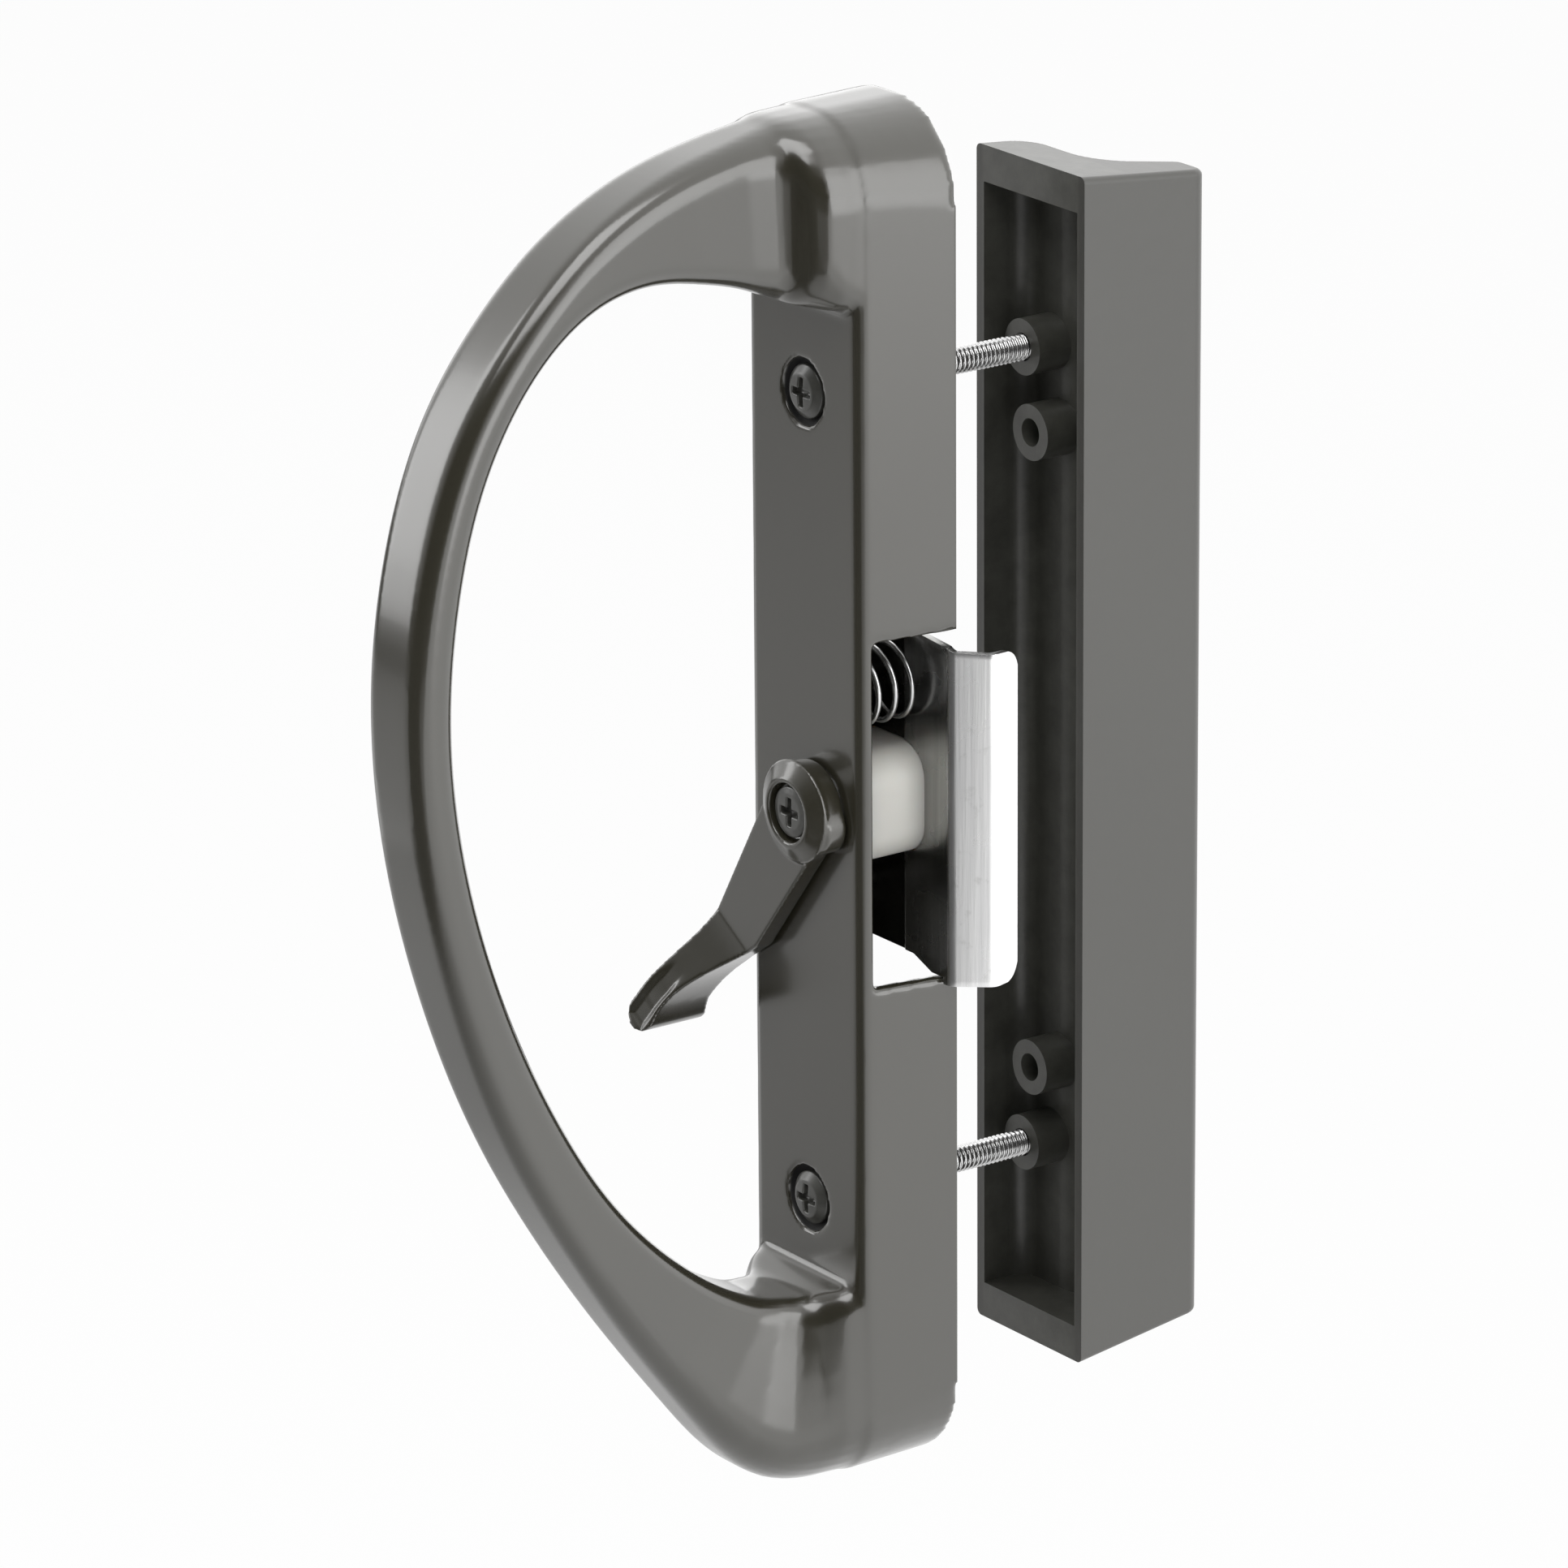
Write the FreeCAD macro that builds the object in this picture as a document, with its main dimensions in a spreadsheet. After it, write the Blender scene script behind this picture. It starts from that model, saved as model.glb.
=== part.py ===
"""Sliding patio door handle set with a clamp latch.

An inside handle (housing and D grip cast in one piece) and an outside pull
stand on the two faces of a door panel, joined by two long machine screws.
A thumb lever on the inside turns a ramped nylon cam, which draws a sprung
steel clamp jaw towards the inside.

Frame: millimetres, +Z up, -Y towards the room, +Y towards the garden, +X
towards the closing edge of the door. The origin lies on the housing's
mounting face, on the line of the two mounting screws, midway between them.
"""
import FreeCAD, Part
import Sketcher
import math
import os

V = FreeCAD.Vector
os.makedirs("parts", exist_ok=True)
doc = FreeCAD.newDocument("patio_door_handle")

SIZES = [
    ("screw_spacing", 125.4, "mounting screws, centre to centre (4-15/16 in)"),
    ("spare_boss_spacing", 100.0, "second pair of bosses, centre to centre (3-15/16 in)"),
    ("spare_boss_shift", 2.0, "second pair of bosses, shift in x"),
    ("door_gap", 21.7, "door panel between the housing and the outside pull"),
    ("housing_half_width", 16.0, "housing, half width at the mounting face"),
    ("housing_top", 105.7, "housing, top end above the origin"),
    ("housing_bottom", 105.0, "housing, lower end below the origin"),
    ("housing_depth", 16.0, "housing, depth of its flat front"),
    ("front_half_width", 13.9, "housing, half width at its flat front"),
    ("front_top", 105.3, "housing, top end at its flat front"),
    ("front_bottom", 105.7, "housing, lower end at its flat front, below"),
    ("end_flat", 2.0, "housing, half of the flat at its ends"),
    ("housing_edge_round", 2.0, "housing, round along its front edges"),
    ("front_wall", 2.2, "housing, wall behind the flat front"),
    ("side_wall", 2.2, "housing, side walls"),
    ("plate_top", 75.0, "flat front, upper end"),
    ("plate_bottom", 68.0, "flat front, lower end below the origin"),
    ("grip_width", 14.0, "grip, width across"),
    ("grip_edge_round", 3.0, "grip, round of its long edges"),
    ("grip_sink", 1.5, "grip, how far behind the housing's flat front it starts"),
    ("grip_shoulder", 0.2, "grip, how far its end blocks stand in from the housing"),
    ("grip_reach", 88.8, "grip, greatest distance from the mounting face"),
    ("grip_belly", 25.8, "grip, height of that farthest point"),
    ("grip_thick", 7.4, "grip, thickness at that point"),
    ("grip_span", 12.0, "grip, longest straight span between two sections"),
    ("boss_diameter", 9.0, "housing, screw boss"),
    ("boss_setback", 0.5, "screw boss, distance below the mounting face"),
    ("screw_diameter", 4.1, "mounting screw, thread"),
    ("screw_clearance", 0.5, "mounting screw, hole larger than the thread by"),
    ("screw_engagement", 4.0, "mounting screw, length inside the pull's boss"),
    ("head_diameter", 8.2, "mounting screw, head"),
    ("head_height", 2.0, "mounting screw, head"),
    ("recess_diameter", 10.2, "recess round the screw head"),
    ("recess_depth", 1.4, "recess round the screw head"),
    ("cross_width", 1.1, "cross recess, width of an arm"),
    ("cross_span", 4.4, "cross recess, span of the arms"),
    ("cross_depth", 1.3, "cross recess, depth"),
    ("notch_top", 27.3, "notch in the flank for the clamp, upper end"),
    ("notch_bottom", 26.2, "notch in the flank for the clamp, lower end below"),
    ("pivot_shift", 3.0, "lever pivot, shift in x from the screw line"),
    ("spindle_diameter", 8.0, "cam spindle, round journal"),
    ("running_gap", 0.2, "running clearance on a diameter"),
    ("spindle_square", 5.5, "cam spindle, square drive"),
    ("drive_depth", 1.6, "square drive, length inside the lever"),
    ("washer_thick", 0.4, "washer between lever and housing"),
    ("washer_diameter", 12.5, "washer, outside"),
    ("lever_boss_radius", 7.2, "lever boss, radius at the foot"),
    ("lever_cap_radius", 7.85, "lever boss, radius of the bead round its cap"),
    ("lever_boss_height", 5.3, "lever boss, height above the washer"),
    ("lever_thick", 3.2, "lever arm, thickness"),
    ("lever_length", 49.0, "lever, pivot to tip"),
    ("lever_angle", 31.0, "lever, swing from straight down at rest, degrees"),
    ("lever_screw_head_height", 1.4, "lever screw, head height"),
    ("tab_height", 20.5, "thumb tab, from the lever's tip up to where its front starts"),
    ("tab_reach", 13.6, "thumb tab, reach in front of the washer at the tip"),
    ("tab_thick", 5.6, "thumb tab, thickness at the tip"),
    ("tab_relief", 2.5, "thumb tab, how far its back stands off the housing"),
    ("lever_screw_head", 7.8, "lever screw, head diameter"),
    ("lever_screw_shank", 3.4, "lever screw, shank diameter"),
    ("lever_screw_sink", 0.5, "lever screw, head below the cap"),
    ("jaw_thick", 1.2, "clamp jaw, sheet thickness"),
    ("jaw_depth", 1.5, "clamp jaw, back of its plate below the mounting face"),
    ("jaw_top", 26.2, "clamp jaw, upper edge of its plate"),
    ("jaw_bottom", 24.2, "clamp jaw, lower edge of its plate below the origin"),
    ("lip_top", 24.6, "clamp jaw, upper end of the lip"),
    ("lip_bottom", 26.9, "clamp jaw, lower end of the lip below the origin"),
    ("jaw_left", 11.8, "clamp jaw, plate's far edge left of the origin"),
    ("jaw_bend", 17.6, "clamp jaw, where its plate bends outward, in x"),
    ("jaw_step_in", 15.2, "clamp jaw, upper edge, start of its step down to the lip, in x"),
    ("jaw_step_out", 18.6, "clamp jaw, upper edge, end of that step"),
    ("foot_step_in", 8.8, "clamp jaw, lower edge, start of its step down to the lip, in x"),
    ("foot_step_out", 13.3, "clamp jaw, lower edge, end of that step"),
    ("lip_stand", 21.9, "clamp jaw, farthest x of the lip"),
    ("lip_rise", 5.1, "clamp jaw, lip, from the plate to its farthest x, along y"),
    ("lip_turn", 0.4, "clamp jaw, lip, how far its turn comes back in x"),
    ("lip_turn_rise", 2.4, "clamp jaw, lip, length of that turn along y"),
    ("lip_lean", 1.0, "clamp jaw, lip, how far its free edge comes back in x"),
    ("lip_reach", 9.6, "clamp jaw, lip, from the plate to its free edge, along y"),
    ("jaw_travel", 3.0, "clamp jaw, travel towards the room"),
    ("ramp_start", 0.35, "cam ramps, height where they start"),
    ("cam_radius", 11.2, "cam, flange radius"),
    ("cam_hub_radius", 8.2, "cam, drum radius"),
    ("window_play", 0.2, "window in the clamp plate, play round the drum"),
    ("cam_back", 0.1, "cam, back face below the mounting face"),
    ("cam_gap", 0.3, "cam, gap to the clamp plate"),
    ("spring_radius", 5.85, "clamp spring, mean radius"),
    ("spring_wire", 0.9, "clamp spring, wire diameter"),
    ("spring_turns", 3.25, "clamp spring, turns"),
    ("spring_shift", 2.5, "clamp spring, centre in x from the pivot"),
    ("spring_height", 18.3, "clamp spring, centre above the origin"),
    ("spring_gap", 0.3, "clamp spring, gap to the plate at its end"),
    ("post_diameter", 3.6, "guide posts of the clamp plate"),
    ("post_shift", 6.2, "guide posts, left of the screw line"),
    ("post_height", 16.5, "guide posts, above and below the origin"),
    ("post_play", 0.6, "guide posts, hole larger than the post by"),
    ("pull_left", 8.2, "outside pull, edge left of the screw line"),
    ("pull_right", 18.1, "outside pull, edge right of the screw line"),
    ("pull_half_length", 92.6, "outside pull, half length"),
    ("pull_plate", 9.7, "outside pull, depth of its low part"),
    ("pull_depth", 22.0, "outside pull, depth of its finger edge"),
    ("pull_lean", 0.9, "outside pull, lean of the finger wall outward"),
    ("pull_tip", 6.7, "outside pull, thickness of the finger edge"),
    ("pull_ramp_foot", 7.8, "outside pull, foot of the finger hollow in x"),
    ("pull_wall", 1.8, "outside pull, wall"),
    ("pull_round", 2.0, "outside pull, round along its finger edge"),
    ("pull_corner_round", 5.0, "outside pull, round of its low edge"),
    ("pull_hollow_round", 8.0, "outside pull, round in the finger hollow"),
    ("pull_end_round", 1.0, "outside pull, round of its end edges"),
    ("pull_boss_diameter", 8.6, "outside pull, screw boss"),
    ("pull_boss_inset", 2.3, "outside pull, screw bosses below the rim"),
    ("pull_pilot", 4.3, "outside pull, threaded hole"),
    ("pull_top_draft", 2.0, "outside pull, how far its upper end draws in over its depth"),
    ("pull_bottom_draft", 3.8, "outside pull, how far its lower end draws in over its depth"),
]

sheet = doc.addObject("Spreadsheet::Sheet", "Sizes")
for row, (name, value, note) in enumerate(SIZES, start=1):
    sheet.set(f"A{row}", note)
    sheet.set(f"B{row}", str(value))
    sheet.setAlias(f"B{row}", name)
doc.recompute()


def size(name):
    """A driving dimension, read from the sheet."""
    return float(sheet.get(name))


def plane(body, role):
    return next(f for f in body.Origin.OriginFeatures if f.Role == role)


def new_body(name):
    body = doc.addObject("PartDesign::Body", name)
    body.Label = name
    return body


def new_sketch(body, name, role, offset=None):
    """A sketch on one of the body's own planes, pushed along its normal."""
    sketch = body.newObject("Sketcher::SketchObject", name)
    sketch.AttachmentSupport = [(plane(body, role), "")]
    sketch.MapMode = "FlatFace"
    if offset:
        sketch.setExpression("AttachmentOffset.Base.z", offset)
    return sketch


def join(sketch, curves):
    """Add a closed run of curves to a sketch and tie their neighbouring ends."""
    ids = [sketch.addGeometry(curve, False) for curve in curves]
    for here, after in zip(ids, ids[1:] + ids[:1]):
        ends = [(e, s) for e in (1, 2) for s in (1, 2)]
        end, start = min(ends, key=lambda k: sketch.getPoint(here, k[0]).distanceToPoint(
            sketch.getPoint(after, k[1])))
        sketch.addConstraint(Sketcher.Constraint("Coincident", here, end, after, start))


def line(a, b):
    return Part.LineSegment(V(*a, 0), V(*b, 0))


def arc(a, middle, b):
    return Part.Arc(V(*a, 0), V(*middle, 0), V(*b, 0))


def curve(points):
    """A smooth curve through points."""
    spline = Part.BSplineCurve()
    spline.interpolate(Points=[V(*p, 0) for p in points])
    return spline


def polygon(sketch, points):
    join(sketch, [line(a, b) for a, b in zip(points, points[1:] + points[:1])])


def circle(sketch, x, z, radius, rule):
    """A circle whose radius follows a rule on the sheet's values."""
    index = sketch.addGeometry(Part.Circle(V(x, z, 0), V(0, 0, 1), radius), False)
    number = sketch.addConstraint(Sketcher.Constraint("Radius", index, radius))
    sketch.renameConstraint(number, f"radius{index}")
    sketch.setExpression(f"Constraints.radius{index}", rule)


def pad(body, name, sketch, rule, midplane=False, reversed_=False):
    feature = body.newObject("PartDesign::Pad", name)
    feature.Profile = sketch
    feature.setExpression("Length", rule)
    feature.Midplane = midplane
    feature.Reversed = reversed_
    doc.recompute()
    return feature


def pocket(body, name, sketch, rule, midplane=False, reversed_=False):
    """A pocket, which must take something away."""
    before = body.Shape.Volume
    feature = body.newObject("PartDesign::Pocket", name)
    feature.Profile = sketch
    feature.setExpression("Length", rule)
    feature.Midplane = midplane
    feature.Reversed = reversed_
    doc.recompute()
    if not body.Shape.Volume < before - 0.01:
        raise RuntimeError(f"{name} cuts nothing")
    return feature


def loft(body, kind, name, first, last):
    """A straight-sided loft between two sketches, adding or taking away."""
    before = body.Shape.Volume if body.Tip else 0
    feature = body.newObject(kind, name)
    feature.Profile = first
    feature.Sections = [last]
    feature.Ruled = True
    doc.recompute()
    if abs(body.Shape.Volume - before) < 1:
        raise RuntimeError(f"{name} changes nothing")
    return feature


def fillet(body, name, radius_rule, wanted):
    """Round the edges of the body's last feature that the test picks."""
    base = body.Tip
    names = [f"Edge{i}" for i, edge in enumerate(base.Shape.Edges, start=1) if wanted(edge)]
    if not names:
        raise RuntimeError(f"{name} finds no edges")
    feature = body.newObject("PartDesign::Fillet", name)
    feature.Base = (base, names)
    feature.setExpression("Radius", radius_rule)
    doc.recompute()
    return feature


def box_of(edge):
    box = edge.BoundBox
    return box.XMin, box.XMax, box.YMin, box.YMax, box.ZMin, box.ZMax


def near(a, b, tolerance=0.02):
    return abs(a - b) < tolerance


def rounded_outline(corners):
    """Lines through corners (x, y, radius), each corner rounded by its radius."""
    runs, arcs = [], []
    for before, (x, y, radius), after in zip(corners[-1:] + corners[:-1], corners,
                                             corners[1:] + corners[:1]):
        here = V(x, y, 0)
        inward = (here - V(before[0], before[1], 0)).normalize()
        outward = (V(after[0], after[1], 0) - here).normalize()
        turn = inward.getAngle(outward)
        cut = radius * math.tan(turn / 2)
        middle = here + (outward - inward).normalize() * (radius / math.cos(turn / 2) - radius)
        runs.append((here - inward * cut, here + outward * cut))
        if radius:
            arcs.append(Part.Arc(here - inward * cut, middle, here + outward * cut))
        else:
            arcs.append(None)
    curves = []
    for round_, (_, end), (start, _) in zip(arcs, runs, runs[1:] + runs[:1]):
        if round_:
            curves.append(round_)
        curves.append(Part.LineSegment(end, start))
    return curves


def slot_outline(half_width, top, bottom):
    """An upright slot with rounded ends, its ends at top and minus bottom."""
    radius = half_width - size("end_flat")
    return rounded_outline([(half_width, -bottom, radius), (half_width, top, radius),
                            (-half_width, top, radius), (-half_width, -bottom, radius)])


def feature(name, shape):
    """A sub-part whose shape is worked out here from the sheet's values."""
    holder = doc.addObject("Part::Feature", name)
    holder.Label = name
    holder.Shape = shape
    return holder


SCREW_HEIGHTS = {"upper": size("screw_spacing") / 2, "lower": -size("screw_spacing") / 2}
PIVOT = V(size("pivot_shift"), 0, 0)
FRONT = -size("housing_depth")
INNER_FACE = FRONT + size("front_wall")


# Housing and grip, one casting: a drafted tray with round ends, which grow
# into a D-shaped grip with rounded edges.
def grip_sections():
    """The grip's sections from the upper root round to the lower one.

    Each is (outer point, inner point, outer width, inner width, outer round,
    inner round), with the points as (y, z). They hang from the ends of the
    housing and from the grip's farthest point, so each part of the loop
    follows its own size. The upper root is a block that steps in sharply to
    the grip; the lower one tapers gently below and is scooped out above.
    """
    top, bottom = size("front_top"), -size("front_bottom")
    reach, belly = -size("grip_reach"), size("grip_belly")
    thick, width, edge = size("grip_thick"), size("grip_width"), size("grip_edge_round")
    root = -(size("housing_depth") - size("grip_sink"))
    back = 1 - abs(root) / size("housing_depth")
    half = size("front_half_width") + (size("housing_half_width") - size("front_half_width")) * back
    shoulder = size("grip_shoulder")
    full = 2 * (half - shoulder)
    end = half - size("end_flat")
    top, bottom = top - shoulder, bottom + shoulder
    root_top = top + (size("housing_top") - size("front_top")) * back
    root_bottom = bottom + (size("front_bottom") - size("housing_bottom")) * back
    head, foot = size("plate_top"), -size("plate_bottom")
    return [
        ((root, root_top), (root, head + 2), full, full, end, edge),
        ((root - 3.5, top), (root - 3.5, head + 2.3), full - 0.5, full - 0.7, end - 0.2, edge + 2),
        ((root - 6, top - 0.1), (root - 6, head + 2.6), full - 1, full - 1.6, end - 0.4, edge + 5),
        ((root - 8, top - 0.3), (root - 7.6, head + 3), full - 4, full - 5, end - 1.6, edge + 5),
        ((root - 9.5, top - 0.7), (root - 8.8, head + 3.7), width + 3.4, width + 3, 7, edge + 3),
        ((root - 11.5, top - 1.1), (root - 10.3, head + 4.3), width + 1, width + 1, 5.5, edge + 1.5),
        ((root - 16, top - 2), (root - 14.2, head + 5.9), width + 0.2, width + 0.2, 4.5, edge + 0.5),
        ((root - 26, top - 4.4), (root - 23, head + 8.4), width, width, edge + 1, edge),
        ((root - 36, top - 8.5), (root - 31, head + 9.5), width, width, edge + 0.5, edge),
        ((reach + 28.3, top - 15), (reach + 34, head + 7.8), width, width, edge, edge),
        ((reach + 18.2, top - 24.8), (reach + 24.1, head + 0.9), width, width, edge, edge),
        ((reach + 9.4, belly + 41.8), (reach + 15.8, belly + 38.4), width, width, edge, edge),
        ((reach + 2.4, belly + 21.4), (reach + 2.3 + thick, belly + 20.4), width, width, edge, edge),
        ((reach, belly), (reach + thick, belly), width, width, edge, edge),
        ((reach + 1.9, belly - 22.5), (reach + 2 + thick, belly - 21.1), width, width, edge, edge),
        ((reach + 7.8, belly - 46.1), (reach + 8.1 + thick, belly - 43.2), width, width, edge, edge),
        ((reach + 18, belly - 71.1), (reach + 18.9 + thick, belly - 66.7), width, width, edge, edge),
        ((reach + 28, bottom + 42.9), (reach + 37.1, foot + 11.4), width, width, edge, edge),
        ((reach + 41.3, bottom + 23.6), (root - 20.6, foot - 3), width + 0.6, width, edge + 1, edge),
        ((root - 25.2, bottom + 13.5), (root - 14, foot - 6.3), width + 2.4, width + 0.2, 5, edge),
        ((root - 19, bottom + 6.2), (root - 11, foot - 7), width + 5, width + 1, 6.5, edge),
        ((root - 13, bottom + 1.8), (root - 8.2, foot - 7.3), full - 5.6, width + 2.6, 8, edge + 0.5),
        ((root - 8, bottom + 0.2), (root - 6, foot - 7.4), full - 2.6, width + 6, end - 2, edge + 1),
        ((root - 4, bottom), (root - 3.5, foot - 7.2), full - 0.8, full - 2.6, end - 0.4, edge + 0.5),
        ((root, root_bottom), (root, foot - 7), full, full, end, edge),
    ]


def section_wire(outer, inner, outer_width, inner_width, outer_round, inner_round):
    """A rounded oblong across the grip, its corners rounded by pairs."""
    tall = (outer - inner).Length
    outer_round = min(outer_round, outer_width / 2 - 0.2, tall - inner_round - 0.2)
    flat = rounded_outline([(outer_width / 2, tall, outer_round), (-outer_width / 2, tall, outer_round),
                            (-inner_width / 2, 0, inner_round), (inner_width / 2, 0, inner_round)])
    up = (outer - inner).normalize()
    wire = Part.Wire([curve.toShape() for curve in flat])
    wire.Placement = FreeCAD.Placement(inner, FreeCAD.Rotation(V(1, 0, 0), up, V(1, 0, 0).cross(up), "XYZ"))
    return wire


def make_grip():
    """The grip, in short straight spans between sections on smooth routes."""
    sections = grip_sections()
    points = [[V(0, *section[side]) for section in sections] for side in (0, 1)]
    at = [0]
    for outer, inner, next_outer, next_inner in zip(*points, points[0][1:], points[1][1:]):
        at.append(at[-1] + (outer + inner).distanceToPoint(next_outer + next_inner) / 2)
    routes = [Part.BSplineCurve() for side in points]
    for route, side in zip(routes, points):
        route.interpolate(Points=side, Parameters=at)
    wires = []
    for here, after, start, end in zip(sections, sections[1:], at, at[1:]):
        spans = math.ceil((end - start) / size("grip_span"))
        for share in (step / spans for step in range(spans)):
            place = start + (end - start) * share
            form = [value + (later - value) * share for value, later in zip(here[2:], after[2:])]
            wires.append(section_wire(routes[0].value(place), routes[1].value(place), *form))
    wires.append(section_wire(points[0][-1], points[1][-1], *sections[-1][2:]))
    return feature("grip", Part.makeLoft(wires, True, True))


def make_housing():
    body = new_body("housing")
    half, top, bottom = size("housing_half_width"), size("housing_top"), size("housing_bottom")
    front = (size("front_half_width"), size("front_top"), size("front_bottom"))
    back_plan = new_sketch(body, "mounting_face_plan", "XZ_Plane")
    join(back_plan, slot_outline(half, top, bottom))
    front_plan = new_sketch(body, "flat_front_plan", "XZ_Plane", "Sizes.housing_depth")
    join(front_plan, slot_outline(*front))
    loft(body, "PartDesign::AdditiveLoft", "housing_block", back_plan, front_plan)
    fillet(body, "front_edges", "Sizes.housing_edge_round",
           lambda edge: box_of(edge)[3] < FRONT + 0.1)

    wall = size("side_wall")
    mouth = new_sketch(body, "cavity_mouth", "XZ_Plane", "-1")
    join(mouth, slot_outline(half - wall, top - wall, bottom - wall))
    floor = new_sketch(body, "cavity_floor", "XZ_Plane", "Sizes.housing_depth - Sizes.front_wall")
    join(floor, slot_outline(*(value - wall for value in front)))
    loft(body, "PartDesign::SubtractiveLoft", "cavity", mouth, floor)

    bosses = new_sketch(body, "boss_plan", "XZ_Plane", "Sizes.boss_setback")
    for height in SCREW_HEIGHTS.values():
        circle(bosses, 0, height, size("boss_diameter") / 2, "Sizes.boss_diameter / 2")
    pad(body, "screw_bosses", bosses, "Sizes.housing_depth - Sizes.front_wall")

    spindle = new_sketch(body, "spindle_boss_plan", "XZ_Plane",
                         "Sizes.housing_depth - Sizes.front_wall - 3")
    circle(spindle, PIVOT.x, 0, size("spindle_diameter") / 2 + 2, "Sizes.spindle_diameter / 2 + 2")
    pad(body, "spindle_boss", spindle, "4")

    seat = new_sketch(body, "spring_seat_plan", "XZ_Plane",
                      "Sizes.housing_depth - Sizes.front_wall - 2")
    circle(seat, PIVOT.x + size("spring_shift"), size("spring_height"),
           size("spring_radius") - size("spring_wire"), "Sizes.spring_radius - Sizes.spring_wire")
    pad(body, "spring_seat", seat, "3")

    posts = new_sketch(body, "post_plan", "XZ_Plane", "Sizes.cam_back")
    for side in (1, -1):
        circle(posts, -size("post_shift"), side * size("post_height"),
               size("post_diameter") / 2, "Sizes.post_diameter / 2")
    pad(body, "guide_posts", posts, "Sizes.housing_depth - Sizes.front_wall")

    bores = new_sketch(body, "bore_plan", "XZ_Plane")
    for height in SCREW_HEIGHTS.values():
        circle(bores, 0, height, (size("screw_diameter") + size("screw_clearance")) / 2,
               "(Sizes.screw_diameter + Sizes.screw_clearance) / 2")
    pocket(body, "screw_bores", bores, "Sizes.housing_depth + 1", reversed_=True)

    bearing = new_sketch(body, "bearing_plan", "XZ_Plane")
    circle(bearing, PIVOT.x, 0, (size("spindle_diameter") + size("running_gap")) / 2,
           "(Sizes.spindle_diameter + Sizes.running_gap) / 2")
    pocket(body, "spindle_bearing", bearing, "Sizes.housing_depth + 1", reversed_=True)

    recesses = new_sketch(body, "recess_plan", "XZ_Plane",
                          "Sizes.housing_depth - Sizes.recess_depth")
    for height in SCREW_HEIGHTS.values():
        circle(recesses, 0, height, size("recess_diameter") / 2, "Sizes.recess_diameter / 2")
    pocket(body, "head_recesses", recesses, "Sizes.recess_depth + 1", reversed_=True)

    notch = new_sketch(body, "notch_side", "YZ_Plane", "Sizes.housing_half_width / 2")
    up, down = size("notch_top"), -size("notch_bottom")
    polygon(notch, [(1, down), (INNER_FACE, down), (INNER_FACE, up), (1, up)])
    pocket(body, "clamp_notch", notch, "Sizes.housing_half_width", reversed_=True)
    return body


def make_handle_casting():
    fused = doc.addObject("Part::Fuse", "handle_casting")
    fused.Label = "handle_casting"
    fused.Base = make_housing()
    fused.Tool = make_grip()
    doc.recompute()
    return fused


def pull_outline(inset):
    """The outside pull's section in x and y, every wall drawn in by an inset."""
    rim, plate, depth = size("door_gap"), size("pull_plate"), size("pull_depth")
    left, right = -size("pull_left"), size("pull_right")
    lean, tip, foot = size("pull_lean"), size("pull_tip"), size("pull_ramp_foot")
    ramp_run = right + lean - tip - foot
    slant = inset * (math.hypot(ramp_run, depth - plate) - ramp_run) / (depth - plate)
    top = inset * (math.hypot(ramp_run, depth - plate) + ramp_run) / (depth - plate)
    mouth = rim - (1 if inset else 0)
    finger = max(size("pull_round") - inset, 0.5)
    return rounded_outline([
        (left + inset, mouth, 0), (right - inset, mouth, 0),
        (right + lean - inset, rim + depth - inset, finger),
        (right + lean - tip + slant, rim + depth - inset, finger),
        (foot + slant, rim + plate - inset, size("pull_hollow_round") + inset),
        (left + inset, rim + plate - inset, size("pull_corner_round") - inset)])


def make_exterior_pull():
    """Outside pull: an open tray whose right side stands up into a finger edge."""
    body = new_body("exterior_pull")
    gap, depth, half = size("door_gap"), size("pull_depth"), size("pull_half_length")
    profile = new_sketch(body, "pull_section", "XY_Plane")
    join(profile, pull_outline(0))
    pad(body, "pull_block", profile, "2 * Sizes.pull_half_length", midplane=True)

    ends = new_sketch(body, "end_draft_side", "YZ_Plane")
    for side, draw in ((1, size("pull_top_draft")), (-1, size("pull_bottom_draft"))):
        polygon(ends, [(gap, side * half), (gap + depth, side * (half - draw)),
                       (gap + depth, side * (half + 1)), (gap, side * (half + 1))])
    pocket(body, "end_draft", ends, "4 * Sizes.pull_right", midplane=True)
    fillet(body, "end_rounds", "Sizes.pull_end_round",
           lambda edge: box_of(edge)[5] - box_of(edge)[4] < half and box_of(edge)[3] > gap + 0.1)

    inside = new_sketch(body, "hollow_section", "XY_Plane")
    join(inside, pull_outline(size("pull_wall")))
    pocket(body, "hollow", inside,
           "2 * (Sizes.pull_half_length - Sizes.pull_bottom_draft - Sizes.pull_wall)", midplane=True)

    bosses = new_sketch(body, "pull_boss_plan", "XZ_Plane", "-Sizes.door_gap - Sizes.pull_boss_inset")
    places = [(0, z) for z in SCREW_HEIGHTS.values()]
    spare = size("spare_boss_spacing") / 2
    places += [(size("spare_boss_shift"), side * spare) for side in (1, -1)]
    for x, z in places:
        circle(bosses, x, z, size("pull_boss_diameter") / 2, "Sizes.pull_boss_diameter / 2")
    pad(body, "pull_bosses", bosses, "Sizes.pull_plate - Sizes.pull_boss_inset - 0.5", reversed_=True)

    pilots = new_sketch(body, "pilot_plan", "XZ_Plane", "-Sizes.door_gap")
    for x, z in places:
        circle(pilots, x, z, size("pull_pilot") / 2, "Sizes.pull_pilot / 2")
    pocket(body, "pilot_holes", pilots, "Sizes.pull_plate - 1.2")
    return body


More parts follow.
